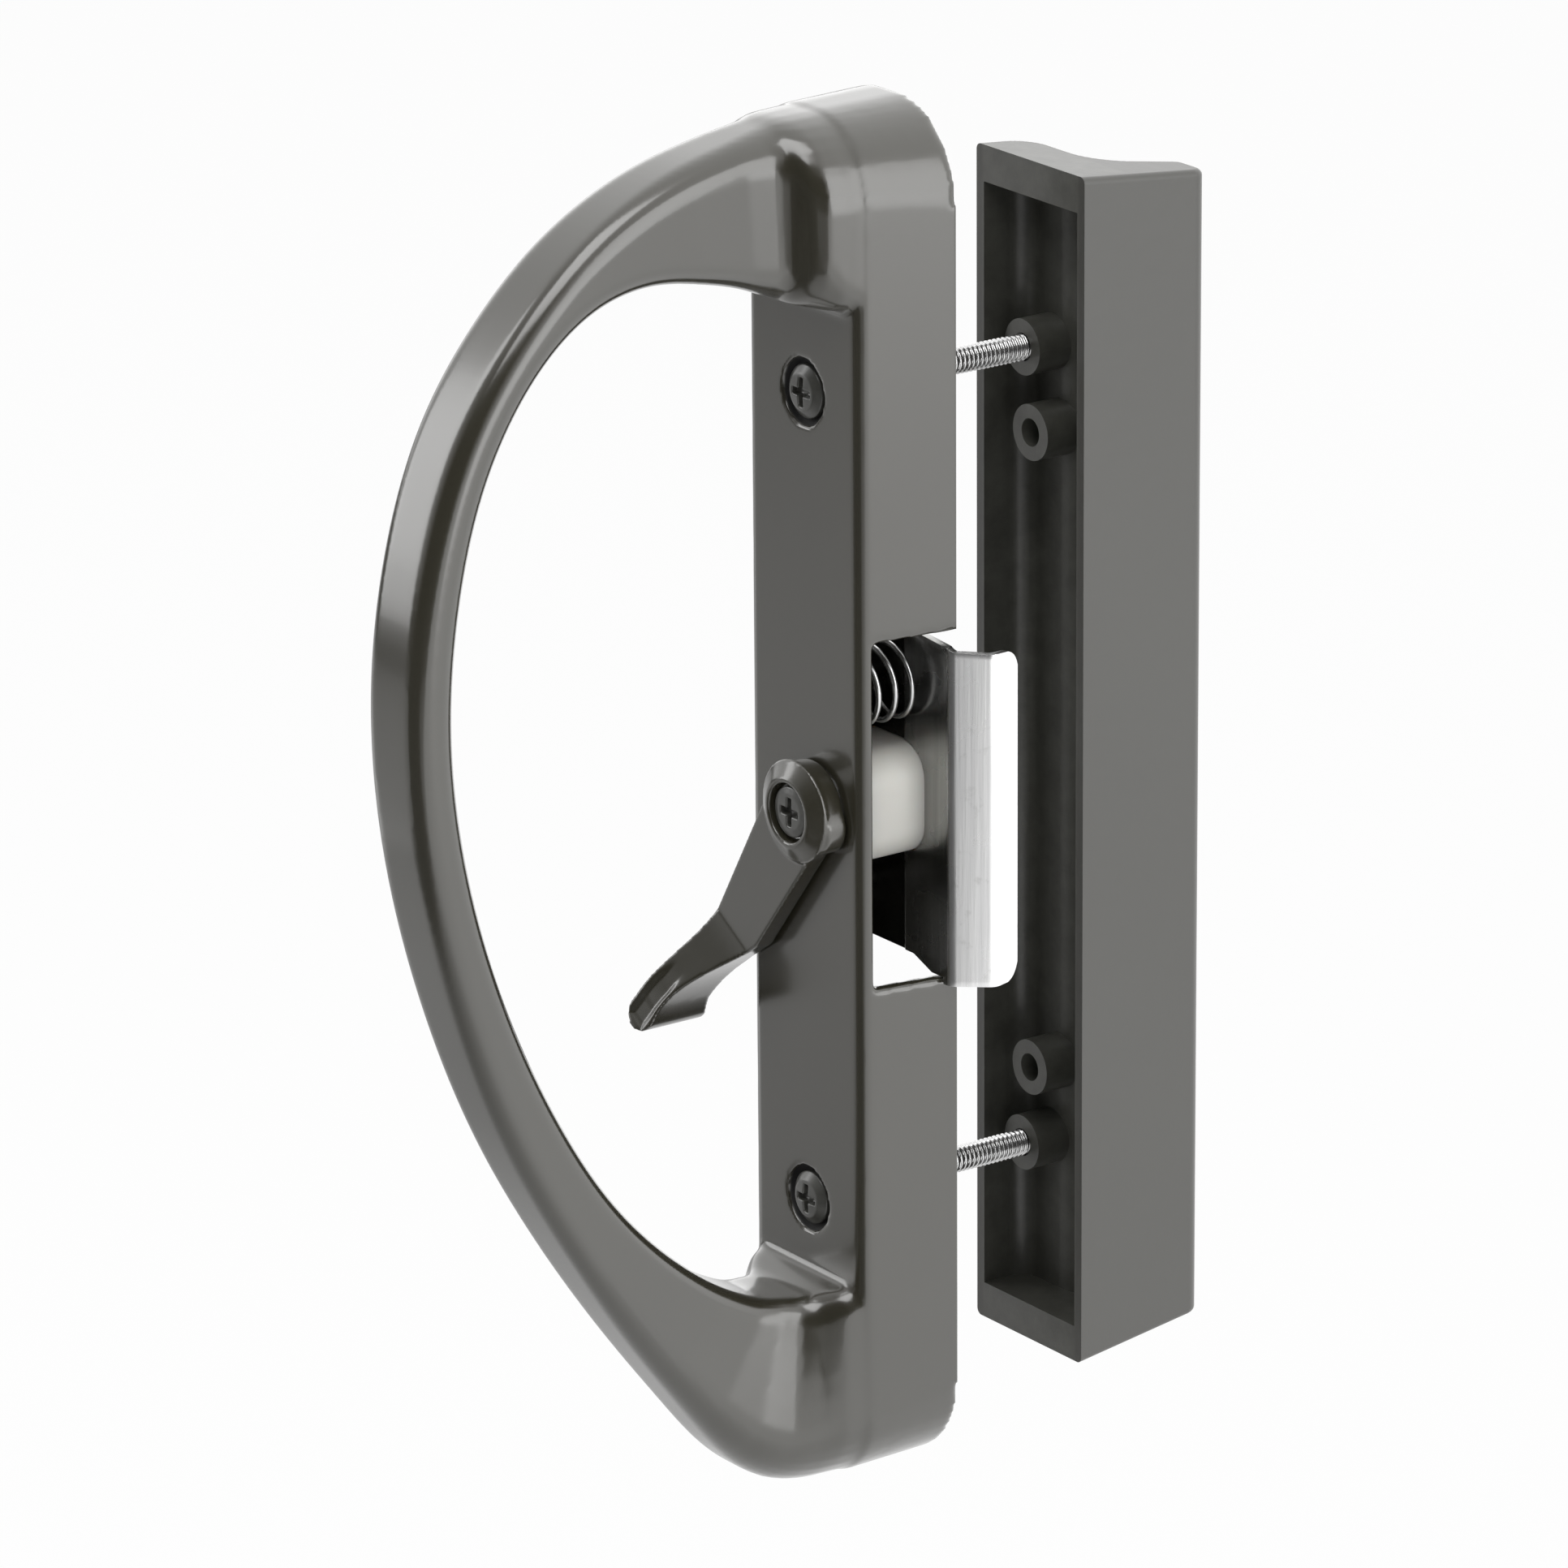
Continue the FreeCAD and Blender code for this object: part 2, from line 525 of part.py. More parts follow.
def make_thumb_lever():
    body = new_body("thumb_lever")
    body.Placement = FreeCAD.Placement(PIVOT, FreeCAD.Rotation(V(0, 1, 0), size("lever_angle")))
    boss, length = size("lever_boss_radius"), size("lever_length")
    start = length - size("tab_height")
    edge, tip = boss - 0.2, size("tab_thick") / 2
    back = "Sizes.housing_depth + Sizes.washer_thick"
    back_y = -(size("housing_depth") + size("washer_thick"))
    arm_y, tab_y = back_y - size("lever_thick"), back_y - size("tab_reach")

    plan = new_sketch(body, "lever_plan", "XZ_Plane", back)
    left_tip, right_tip = (-edge, tip - length), (2 * tip - edge, tip - length)
    foot, lobe, lobe_top = (6.3, -3.1), (boss + 1.1, 0.6), (6.1, 4.4)
    crown = (boss * math.sin(math.radians(28)), boss * math.cos(math.radians(28)))
    shoulder = (-edge, math.sqrt(boss ** 2 - edge ** 2))
    # The left edge is straight; the right one narrows from the boss's lobe
    # and swings out again to the tab, which ends in a half circle.
    join(plan, [
        line(shoulder, left_tip),
        arc(left_tip, (tip - edge, -length), right_tip),
        curve([right_tip, (-1.9, -start - 13), (-0.6, -start - 7), (3.3, -start + 2)]),
        line((3.3, -start + 2), foot),
        arc(foot, lobe, lobe_top),
        line(lobe_top, crown),
        arc(crown, (0, boss), shoulder)])
    pad(body, "lever_blank", plan, "Sizes.tab_reach")

    side = new_sketch(body, "lever_side", "YZ_Plane")
    dish = curve([(arm_y, -start), (arm_y - 2, -start - 4.5), (arm_y - 7.8, -start - 12.8),
                  (tab_y + 1.3, -start - 16.4)])
    land, far = (tab_y + 1.3, -start - 16.4), tab_y - 10
    join(side, [line((arm_y, 2 * boss), (arm_y, -start)), dish, line(land, (tab_y, -length)),
                line((tab_y, -length), (far, -length)), line((far, -length), (far, 2 * boss)),
                line((far, 2 * boss), (arm_y, 2 * boss))])
    pocket(body, "lever_front_cut", side, "8 * Sizes.lever_boss_radius", midplane=True)

    relief = new_sketch(body, "tab_relief_side", "YZ_Plane")
    lift = back_y - size("tab_relief")
    join(relief, [line((back_y + 1, -start - 5), (back_y, -start - 5)),
                  arc((back_y, -start - 5), (back_y - 0.4 * size("tab_relief"), -start - 10),
                      (lift, -start - 15)),
                  line((lift, -start - 15), (lift, -length - 1)),
                  line((lift, -length - 1), (back_y + 1, -length - 1)),
                  line((back_y + 1, -length - 1), (back_y + 1, -start - 5))])
    pocket(body, "tab_back_relief", relief, "8 * Sizes.lever_boss_radius", midplane=True)

    cap_y, bead = back_y - size("lever_boss_height"), size("lever_cap_radius")
    rim = size("lever_screw_head") / 2 + 0.6
    profile = new_sketch(body, "lever_boss_profile", "YZ_Plane")
    polygon(profile, [(back_y, 0), (back_y, boss), (arm_y + 0.2, bead - 0.25), (arm_y - 0.3, bead),
                      (arm_y - 0.7, bead), (arm_y - 0.9, bead - 0.5), (cap_y, rim + 0.7), (cap_y, 0)])
    turned = body.newObject("PartDesign::Revolution", "lever_boss")
    turned.Profile = profile
    turned.ReferenceAxis = (profile, ["H_Axis"])
    turned.Angle = 360
    doc.recompute()

    sink = new_sketch(body, "head_sink_plan", "XZ_Plane",
                      back + " + Sizes.lever_boss_height - Sizes.lever_screw_sink"
                      " - Sizes.lever_screw_head_height")
    circle(sink, 0, 0, rim, "Sizes.lever_screw_head / 2 + 0.6")
    pocket(body, "head_sink", sink, "5", reversed_=True)

    bore = new_sketch(body, "screw_bore_plan", "XZ_Plane", back)
    circle(bore, 0, 0, size("lever_screw_shank") / 2 + 0.2, "Sizes.lever_screw_shank / 2 + 0.2")
    pocket(body, "screw_bore", bore, "Sizes.lever_boss_height + 1", reversed_=True)

    socket = new_sketch(body, "socket_plan", "XZ_Plane", back)
    half = size("spindle_square") / 2 + 0.05
    polygon(socket, [(-half, -half), (half, -half), (half, half), (-half, half)])
    pocket(body, "square_socket", socket, "Sizes.drive_depth + 0.1", reversed_=True)
    return body


def make_screw(name, x, z, seat, head_radius, head_height, crown, shank_radius, point):
    """A cross-recessed screw along Y: head from seat forward, shank to point."""
    body = new_body(name)
    body.Placement = FreeCAD.Placement(V(x, 0, z), FreeCAD.Rotation())
    half = new_sketch(body, name + "_profile", "YZ_Plane")
    top = seat - head_height
    join(half, [
        line((top, 0), (point, 0)),
        line((point, 0), (point, shank_radius - 0.5)),
        line((point, shank_radius - 0.5), (point - 0.8, shank_radius)),
        line((point - 0.8, shank_radius), (seat, shank_radius)),
        line((seat, shank_radius), (seat, head_radius)),
        line((seat, head_radius), (top + crown, head_radius)),
        line((top + crown, head_radius), (top + crown / 4, 0.7 * head_radius)),
        line((top + crown / 4, 0.7 * head_radius), (top, 0))])
    turned = body.newObject("PartDesign::Revolution", name + "_blank")
    turned.Profile = half
    turned.ReferenceAxis = (half, ["H_Axis"])
    turned.Angle = 360
    doc.recompute()
    a, b = size("cross_width") / 2, size("cross_span") / 2
    recess = new_sketch(body, name + "_cross", "XZ_Plane", str(-top + 0.5))
    polygon(recess, [(a, a), (b, a), (b, -a), (a, -a), (a, -b), (-a, -b), (-a, -a), (-b, -a),
                     (-b, a), (-a, a), (-a, b), (a, b)])
    pocket(body, name + "_recess", recess, "Sizes.cross_depth + 0.5")
    return body


def make_mounting_screws():
    seat = FRONT + size("recess_depth")
    point = size("door_gap") + size("pull_boss_inset") + size("screw_engagement")
    for where, height in SCREW_HEIGHTS.items():
        make_screw(f"mounting_screw_{where}", 0, height, seat, size("head_diameter") / 2,
                   size("head_height"), 1.2, size("screw_diameter") / 2, point)


def make_lever_screw():
    cap = -(size("housing_depth") + size("washer_thick") + size("lever_boss_height"))
    seat = cap + size("lever_screw_sink") + size("lever_screw_head_height")
    make_screw("lever_screw", PIVOT.x, 0, seat, size("lever_screw_head") / 2,
               size("lever_screw_head_height"), 0.3, size("lever_screw_shank") / 2, seat + 10)


def cylinder(name, rule, x, y, z):
    """A cylinder along +Y whose radius and height follow the sheet."""
    solid = doc.addObject("Part::Cylinder", name)
    solid.setExpression("Radius", rule[0])
    solid.setExpression("Height", rule[1])
    solid.Placement = FreeCAD.Placement(V(x, y, z), FreeCAD.Rotation(V(1, 0, 0), -90))
    return solid


def make_lever_washer():
    back = FRONT - size("washer_thick")
    disc = cylinder("washer_disc", ("Sizes.washer_diameter / 2", "Sizes.washer_thick"), PIVOT.x, back, 0)
    hole = cylinder("washer_hole", ("Sizes.spindle_diameter / 2 + Sizes.running_gap", "3"),
                    PIVOT.x, back - 1, 0)
    ring = doc.addObject("Part::Cut", "lever_washer")
    ring.Label = "lever_washer"
    ring.Base = disc
    ring.Tool = hole
    return ring


JAW_FACE = -size("jaw_depth") - size("jaw_thick")
CAM_FACE = -size("jaw_depth") + size("cam_gap")
WINDOW_HALF = size("cam_hub_radius") + size("window_play")


def make_latch_cam():
    """Nylon cam: flange behind the clamp plate, two ramps, hub and spindle."""
    radius, hub = size("cam_radius"), size("cam_hub_radius")
    back = -size("cam_back")
    y_axis = V(0, 1, 0)

    def disc(r, y0, y1):
        return Part.makeCylinder(r, y1 - y0, V(PIVOT.x, y0, 0), y_axis)

    inner_end = INNER_FACE + 3.2
    solid = disc(radius, CAM_FACE, back).fuse(disc(hub, inner_end, back))
    drive_end = FRONT - size("washer_thick") - size("drive_depth")
    solid = solid.fuse(disc(size("spindle_diameter") / 2, FRONT, back))
    side = size("spindle_square")
    drive = Part.makeBox(side, FRONT - drive_end + 1, side, V(PIVOT.x - side / 2, drive_end, -side / 2))
    drive.rotate(PIVOT, V(0, 1, 0), size("lever_angle"))
    solid = solid.fuse(drive)
    solid = solid.fuse([make_ramp(hub - 1, radius, CAM_FACE + 0.5, turn) for turn in (0, 180)])
    solid = solid.cut(disc(size("lever_screw_shank") / 2 + 0.05, drive_end - 1, -2.5))
    return feature("latch_cam", solid.removeSplitter())


def make_ramp(inner, outer, foot, turn):
    """A ramp that climbs by the jaw's travel over a quarter turn.

    Angles run the way the lever turns, from +X. The ramp starts where the
    lower edge of the window begins and climbs backwards from there, so the
    plate is pushed in step with the lever.
    """
    lead = math.degrees(math.asin(WINDOW_HALF / size("cam_radius"))) - 3
    start, steps = size("ramp_start"), 6
    wires = []
    for i in range(steps + 1):
        share = i / steps
        height = start + (size("jaw_travel") - start) * share
        angle = math.radians(turn + lead - 90 * share)
        out = V(math.cos(angle), 0, -math.sin(angle))
        centre = V(PIVOT.x, 0, 0)
        low, high = V(0, foot, 0), V(0, foot - 0.5 - height, 0)
        corners = [centre + out * inner + low, centre + out * outer + low,
                   centre + out * outer + high, centre + out * inner + high]
        wires.append(Part.makePolygon(corners + corners[:1]))
    return Part.makeLoft(wires, True, True)


def rounded_route(points, radius):
    """Straight runs through points in the XY plane, joined by tangent arcs."""
    points = [V(*p, 0) for p in points]
    edges, last = [], points[0]
    for before, corner, after in zip(points, points[1:], points[2:]):
        inward, outward = (corner - before).normalize(), (after - corner).normalize()
        turn = inward.getAngle(outward)
        cut = radius * math.tan(turn / 2)
        start, end = corner - inward * cut, corner + outward * cut
        middle = corner + (outward - inward).normalize() * (radius / math.cos(turn / 2) - radius)
        edges += [Part.LineSegment(last, start).toShape(), Part.Arc(start, middle, end).toShape()]
        last = end
    edges.append(Part.LineSegment(last, points[-1]).toShape())
    return Part.Wire(edges)


def make_clamp_jaw():
    """Pressed steel jaw: a plate inside the housing and a hooked lip outside."""
    thick, high, low = size("jaw_thick"), size("jaw_top"), -size("lip_bottom")
    stand, rise = size("lip_stand"), JAW_FACE + size("lip_rise")
    route = rounded_route([(-size("jaw_left"), JAW_FACE), (size("jaw_bend"), JAW_FACE), (stand, rise),
                           (stand - size("lip_turn"), rise + size("lip_turn_rise")),
                           (stand - size("lip_lean"), JAW_FACE + size("lip_reach"))], 4 * thick / 3)
    section = route.makeOffset2D(thick, fill=True, openResult=True)
    if section.BoundBox.YMin < JAW_FACE - thick / 2:
        section = route.makeOffset2D(-thick, fill=True, openResult=True)
    section.translate(V(0, 0, low))
    solid = section.extrude(V(0, 0, high - low))

    far, lip_top, step = 2 * stand, size("lip_top"), size("jaw_step_in")
    step_down = [V(step, 0, high), V(size("jaw_step_out"), 0, lip_top), V(far, 0, lip_top),
                 V(far, 0, high + 1), V(step, 0, high + 1)]
    plate_low, foot = -size("jaw_bottom"), size("foot_step_in")
    flank, clear = size("housing_half_width") + 0.2, -size("notch_bottom") + 0.3
    step_up = [V(-far, 0, plate_low), V(foot, 0, plate_low), V(size("foot_step_out"), 0, clear),
               V(flank, 0, clear), V(flank, 0, low - 1), V(-far, 0, low - 1)]
    for corners in (step_down, step_up):
        trim = Part.Face(Part.makePolygon(corners + corners[:1]))
        trim.translate(V(0, -far, 0))
        solid = solid.cut(trim.extrude(V(0, 2 * far, 0)))

    half_long = size("cam_radius") + size("window_play")
    window = Part.makeBox(2 * half_long, 3 * thick, 2 * WINDOW_HALF,
                          V(PIVOT.x - half_long, JAW_FACE - thick, -WINDOW_HALF))
    uprights = [edge for edge in window.Edges if near(edge.BoundBox.YLength, 3 * thick)]
    solid = solid.cut(window.makeFillet(2 * thick, uprights))
    hole = (size("post_diameter") + size("post_play")) / 2
    for side in (1, -1):
        centre = V(-size("post_shift"), JAW_FACE - thick, side * size("post_height"))
        solid = solid.cut(Part.makeCylinder(hole, 3 * thick, centre, V(0, 1, 0)))
    return feature("clamp_jaw", solid)


def make_clamp_spring():
    """A coil between the housing's front wall and the clamp plate."""
    wire, radius, turns = size("spring_wire") / 2, size("spring_radius"), size("spring_turns")
    start, end = INNER_FACE + wire + 0.05, JAW_FACE - size("spring_gap") - wire
    spans, sides, first = round(20 * turns), 8, math.radians(60)
    climb, middle = (end - start) / (2 * math.pi * turns), PIVOT.x + size("spring_shift")
    wires = []
    for step in range(spans + 1):
        angle = first + 2 * math.pi * turns * step / spans
        out = V(math.cos(angle), 0, -math.sin(angle))
        along = (V(0, climb, 0) + V(0, 1, 0).cross(out) * radius).normalize()
        side_on = along.cross(out)
        centre = V(middle, start + (end - start) * step / spans, size("spring_height"))
        corners = []
        for side in range(sides):
            turn = 2 * math.pi * side / sides
            reach = out * (radius + wire * math.cos(turn))
            corners.append(centre + reach + side_on * (wire * math.sin(turn)))
        wires.append(Part.makePolygon(corners + corners[:1]))
    return feature("clamp_spring", Part.makeLoft(wires, True, True))


make_handle_casting()
make_exterior_pull()
make_thumb_lever()
make_lever_screw()
make_lever_washer()
make_latch_cam()
make_clamp_jaw()
make_clamp_spring()
make_mounting_screws()
doc.recompute()

NODES = ["handle_casting", "exterior_pull", "thumb_lever", "lever_screw", "lever_washer",
         "latch_cam", "clamp_jaw", "clamp_spring", "mounting_screw_upper", "mounting_screw_lower"]
for item in doc.Objects:
    if "Invalid" in item.State or "Error" in item.State:
        raise RuntimeError(f"{item.Name} failed to build")
shapes = {}
for node in NODES:
    shape = next(item for item in doc.Objects if item.Label == node).Shape
    if shape.isNull() or not shape.isValid() or len(shape.Solids) != 1:
        raise RuntimeError(f"{node} is not one sound solid")
    shapes[node] = shape
for node, shape in shapes.items():
    shape.exportStep(f"parts/{node}.step")
print(f"{len(shapes)} pieces, the cam's teeth lift {size('jaw_travel')} mm")
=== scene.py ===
"""Looks of the sliding patio door handle set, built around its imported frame."""
import math

import bpy
import numpy as np
from mathutils import Matrix, Vector


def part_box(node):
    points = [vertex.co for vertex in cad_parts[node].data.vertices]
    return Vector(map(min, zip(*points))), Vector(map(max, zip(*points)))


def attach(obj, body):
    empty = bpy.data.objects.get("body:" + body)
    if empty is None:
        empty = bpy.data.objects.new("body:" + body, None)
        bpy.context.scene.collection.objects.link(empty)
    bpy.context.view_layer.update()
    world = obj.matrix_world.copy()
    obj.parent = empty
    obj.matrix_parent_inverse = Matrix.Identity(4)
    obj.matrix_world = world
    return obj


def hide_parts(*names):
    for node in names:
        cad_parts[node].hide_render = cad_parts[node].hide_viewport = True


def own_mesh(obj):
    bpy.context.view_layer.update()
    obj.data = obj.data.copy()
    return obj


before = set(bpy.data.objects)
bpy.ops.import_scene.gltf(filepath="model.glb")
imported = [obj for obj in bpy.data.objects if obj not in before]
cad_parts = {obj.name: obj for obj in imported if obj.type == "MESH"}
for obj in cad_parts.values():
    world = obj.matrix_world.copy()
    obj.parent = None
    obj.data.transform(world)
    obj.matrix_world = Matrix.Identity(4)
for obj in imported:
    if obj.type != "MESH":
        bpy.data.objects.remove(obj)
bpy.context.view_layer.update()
MM = 0.001
WELD = 0.00001          # points closer than this, in metres, are one
CUT_REACH = 20          # cutting tools reach this far along Y, in mm, past every sheet
PIVOT_X = 3.0           # the lever's pivot, in mm from the housing's middle
SCREW_HEIGHT = 62.7     # the mounting screws, in mm above and below the middle
RECESS_RADIUS = 5.3     # the hollow round a mounting screw's head, with its edge, where the paint carries painted shade
RECESS_RIM = -15.7      # just inside the housing's front


# Materials
class Value:
    """A shader socket that takes part in Python arithmetic by adding Math nodes."""

    def __init__(self, tree, socket):
        self.tree = tree
        self.socket = socket

    def calc(self, operation, *terms):
        node = self.tree.nodes.new("ShaderNodeMath")
        node.operation = operation
        for slot, term in zip(node.inputs, terms):
            if isinstance(term, Value):
                self.tree.links.new(term.socket, slot)
            else:
                slot.default_value = term
        return Value(self.tree, node.outputs[0])

    def __add__(self, other):
        return self.calc("ADD", self, other)

    def __radd__(self, other):
        return self.calc("ADD", other, self)

    def __sub__(self, other):
        return self.calc("SUBTRACT", self, other)

    def __rsub__(self, other):
        return self.calc("SUBTRACT", other, self)

    def __mul__(self, other):
        return self.calc("MULTIPLY", self, other)

    def __rmul__(self, other):
        return self.calc("MULTIPLY", other, self)

    def magnitude(self):
        return self.calc("ABSOLUTE", self)

    def root(self):
        return self.calc("SQRT", self)

    def clamp(self):
        node = self.tree.nodes.new("ShaderNodeClamp")
        self.tree.links.new(self.socket, node.inputs[0])
        return Value(self.tree, node.outputs[0])


class Finish:
    """One material and its node tree, with a Principled shader at its end."""

    def __init__(self, name):
        self.material = bpy.data.materials.new(name)
        self.material.use_nodes = True
        self.tree = self.material.node_tree
        self.surface = self.tree.nodes["Principled BSDF"]
        self.output = self.tree.nodes["Material Output"]

    def node(self, kind, settings=None, output=0, **inputs):
        """Add a node: settings first, then values or links for its inputs."""
        node = self.tree.nodes.new(kind)
        for key, value in (settings or {}).items():
            setattr(node, key, value)
        for key, value in inputs.items():
            self.feed(node.inputs[key.replace("_", " ")], value)
        return Value(self.tree, node.outputs[output])

    def feed(self, slot, value):
        if isinstance(value, Value):
            self.tree.links.new(value.socket, slot)
        else:
            slot.default_value = value

    def set(self, **inputs):
        for key, value in inputs.items():
            self.feed(self.surface.inputs[key.replace("_", " ")], value)

    def place(self, stretch=(1, 1, 1)):
        """Object coordinates in metres, stretched along each axis."""
        where = self.node("ShaderNodeTexCoord", output=3)
        return self.node("ShaderNodeMapping", Vector=where, Scale=stretch)

    def along(self, axis):
        """One object coordinate, in metres."""
        where = self.node("ShaderNodeTexCoord", output=3)
        return self.node("ShaderNodeSeparateXYZ", output=axis, Vector=where)

    def noise(self, scale, detail=2.0, rough=0.5, stretch=(1, 1, 1)):
        return self.node("ShaderNodeTexNoise", Vector=self.place(stretch), Scale=scale,
                         Detail=detail, Roughness=rough)

    def mix(self, factor, first, second):
        """A colour between two colours."""
        node = self.tree.nodes.new("ShaderNodeMix")
        node.data_type = "RGBA"
        for slot, value in zip((node.inputs[0], node.inputs[6], node.inputs[7]),
                               (factor, first, second)):
            self.feed(slot, value)
        return Value(self.tree, node.outputs[2])

    def bump(self, height, strength, distance):
        normal = self.node("ShaderNodeBump", Height=height, Strength=strength, Distance=distance)
        self.set(Normal=normal)


def shade(red, green, blue):
    return (red, green, blue, 1.0)


def grey(level, blue=1.0):
    """A neutral colour, its blue times a share."""
    return shade(level, level, level * blue)


def below(value, limit, sharp=2000):
    """A mask that is 1 where a place in metres lies under a limit in mm."""
    return ((limit * MM - value) * sharp).clamp()


def above(value, limit, sharp=2000):
    """A mask that is 1 where a place in metres lies over a limit in mm."""
    return ((value - limit * MM) * sharp).clamp()


def black_gloss():
    """Black gloss paint with a faint orange peel and dust nibs, duller and with painted shade in the
    hollows round the screw heads.
    """
    look = Finish("black_gloss")
    peel = look.noise(240, 3)
    cloud = look.noise(30, 2)
    nibs = ((look.noise(900, 1) - 0.74) * 9).clamp()
    colour = look.mix(cloud, shade(0.022, 0.020, 0.013), shade(0.030, 0.028, 0.019))
    across, deep, up = look.along(0), look.along(1), look.along(2)
    aside = up.magnitude() - SCREW_HEIGHT * MM
    from_screw = (across * across + aside * aside).root()
    shaded_recess = below(from_screw, RECESS_RADIUS, 4000) * above(deep, RECESS_RIM, 4000)
    # The hollow round each screw head is painted near-black as painted shade, and is made rougher
    # with a thinner coat.
    look.set(Base_Color=look.mix(shaded_recess, colour, grey(0.003)),
             Roughness=0.19 + 0.08 * cloud + 0.6 * shaded_recess, Specular_IOR_Level=0.8,
             Coat_Weight=0.5 - 0.5 * shaded_recess, Coat_Roughness=0.12)
    look.bump(peel + nibs * 0.5, 0.010, 0.0004)
    return look.material


def black_satin():
    """Black satin paint, mottled where it is thin inside the hollow."""
    look = Finish("black_satin")
    peel = look.noise(420, 3)
    cloud = look.noise(22, 2)
    mottle = look.noise(260, 4, 0.7)
    across, deep = look.along(0), look.along(1)
    inside = below(deep, 30.5) * above(across, -7.0) * below(across, 16.8)
    paint = look.mix(cloud, shade(0.034, 0.033, 0.028), shade(0.046, 0.045, 0.039))
    dusty = look.mix(mottle, shade(0.022, 0.022, 0.017), shade(0.085, 0.085, 0.074))
    look.set(Base_Color=look.mix(inside, paint, dusty), Roughness=0.36 + 0.08 * cloud,
             Specular_IOR_Level=0.8)
    look.bump(peel + mottle * 0.4, 0.10, 0.0004)
    return look.material


def zinc(name="zinc", dark=0.60, bright=0.86, rough=0.2):
    """Zinc plate, drawn lengthwise, with small stains."""
    look = Finish(name)
    streak = look.noise(60, 4, 0.6, (14, 14, 0.5))
    cloud = look.noise(90, 3)
    stain = ((look.noise(420, 3, 0.6) - 0.62) * 7).clamp()
    plate = look.mix(streak, grey(dark, 1.01), grey(bright, 0.99))
    colour = look.mix(stain * 0.25, plate, grey(dark * 0.5, 0.94))
    look.set(Base_Color=colour, Metallic=1.0, Roughness=rough + 0.16 * cloud)
    look.bump(streak, 0.12, 0.0003)
    return look.material


def clamp_shaded_inside():
    """The clamp plate inside the housing: polished zinc with painted shade, darker still beyond its
    crease.
    """
    look = Finish("clamp_shaded_inside")
    streak = look.noise(60, 4, 0.6, (14, 14, 0.5))
    cloud = look.noise(110, 3)
    # Beyond the crease the plate is painted near-black as painted shade, where the housing covers it.
    beyond = below(look.along(0), 6.6, 2500)
    # This zinc is painted darker than the lip's zinc: painted shade inside the housing.
    plate = look.mix(streak, shade(0.24, 0.24, 0.23), shade(0.46, 0.46, 0.45))
    colour = look.mix(beyond, plate, shade(0.05, 0.05, 0.045))
    look.set(Base_Color=colour, Metallic=1.0, Roughness=0.16 + 0.22 * cloud)
    look.bump(streak, 0.12, 0.0003)
    return look.material


def black_screw(name="black_screw", dark=0.034, pale=0.060):
    """Black oxide on a screw, grainy and a little worn."""
    look = Finish(name)
    grain = look.noise(700, 2)
    look.set(Base_Color=look.mix(grain, grey(dark, 0.9), grey(pale, 0.88)),
             Roughness=0.26 + 0.1 * grain, Specular_IOR_Level=0.8)
    look.bump(grain, 0.1, 0.0002)
    return look.material


def white_nylon():
    """Moulded nylon, off-white and a little translucent."""
    look = Finish("white_nylon")
    cloud = look.noise(120, 2)
    look.set(Base_Color=look.mix(cloud, shade(0.50, 0.48, 0.45), shade(0.58, 0.56, 0.52)),
             Roughness=0.38 + 0.08 * cloud, Subsurface_Weight=0.08)
    look.bump(look.noise(500, 2), 0.06, 0.0003)
    return look.material


FINISHES = {"black_gloss": black_gloss(), "black_satin": black_satin(), "zinc": zinc(),
            "clamp_shaded_inside": clamp_shaded_inside(),
            "spring_wire": zinc("spring_wire", 0.42, 0.60, 0.16),
            "screw_zinc": zinc("screw_zinc", 0.50, 0.74, 0.18),
            "black_screw": black_screw(), "worn_screw": black_screw("worn_screw", 0.03, 0.06),
            "white_nylon": white_nylon()}


def dress(piece, *finishes):
    """Give a piece these finishes in place of its own."""
    piece.data.materials.clear()
    for finish in finishes:
        piece.data.materials.append(FINISHES[finish])


# Modelling helpers
def pick(piece):
    """Leave only this piece selected and active."""
    bpy.ops.object.select_all(action="DESELECT")
    piece.select_set(True)
    bpy.context.view_layer.objects.active = piece


def open_all(piece):
    """Open a piece in edit mode with everything selected."""
    pick(piece)
    bpy.ops.object.mode_set(mode="EDIT")
    bpy.ops.mesh.select_all(action="SELECT")


def modify(piece, kind, **settings):
    """Add a modifier and apply it."""
    pick(piece)
    modifier = piece.modifiers.new(kind.lower(), kind)
    for key, value in settings.items():
        setattr(modifier, key, value)
    bpy.ops.object.modifier_apply(modifier=modifier.name)


def mesh_piece(name, points, faces):
    """A piece from points in millimetres and faces."""
    mesh = bpy.data.meshes.new(name)
    mesh.from_pydata([tuple(c * MM for c in point) for point in points], [], faces)
    piece = bpy.data.objects.new(name, mesh)
    bpy.context.collection.objects.link(piece)
    return piece


def tidy_faces(piece):
    """Merge doubles and point the faces outwards."""
    open_all(piece)
    bpy.ops.mesh.remove_doubles(threshold=WELD)
    bpy.ops.mesh.normals_make_consistent(inside=False)
    bpy.ops.object.mode_set(mode="OBJECT")


def copy_of(node, name):
    """A node's mesh as a new piece, its loose triangles merged."""
    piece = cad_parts[node].copy()
    piece.data = piece.data.copy()
    piece.name = name
    piece.parent = None
    bpy.context.collection.objects.link(piece)
    open_all(piece)
    bpy.ops.mesh.remove_doubles(threshold=WELD)
    bpy.ops.object.mode_set(mode="OBJECT")
    if piece.data.has_custom_normals:
        bpy.ops.mesh.customdata_custom_splitnormals_clear()
    return piece


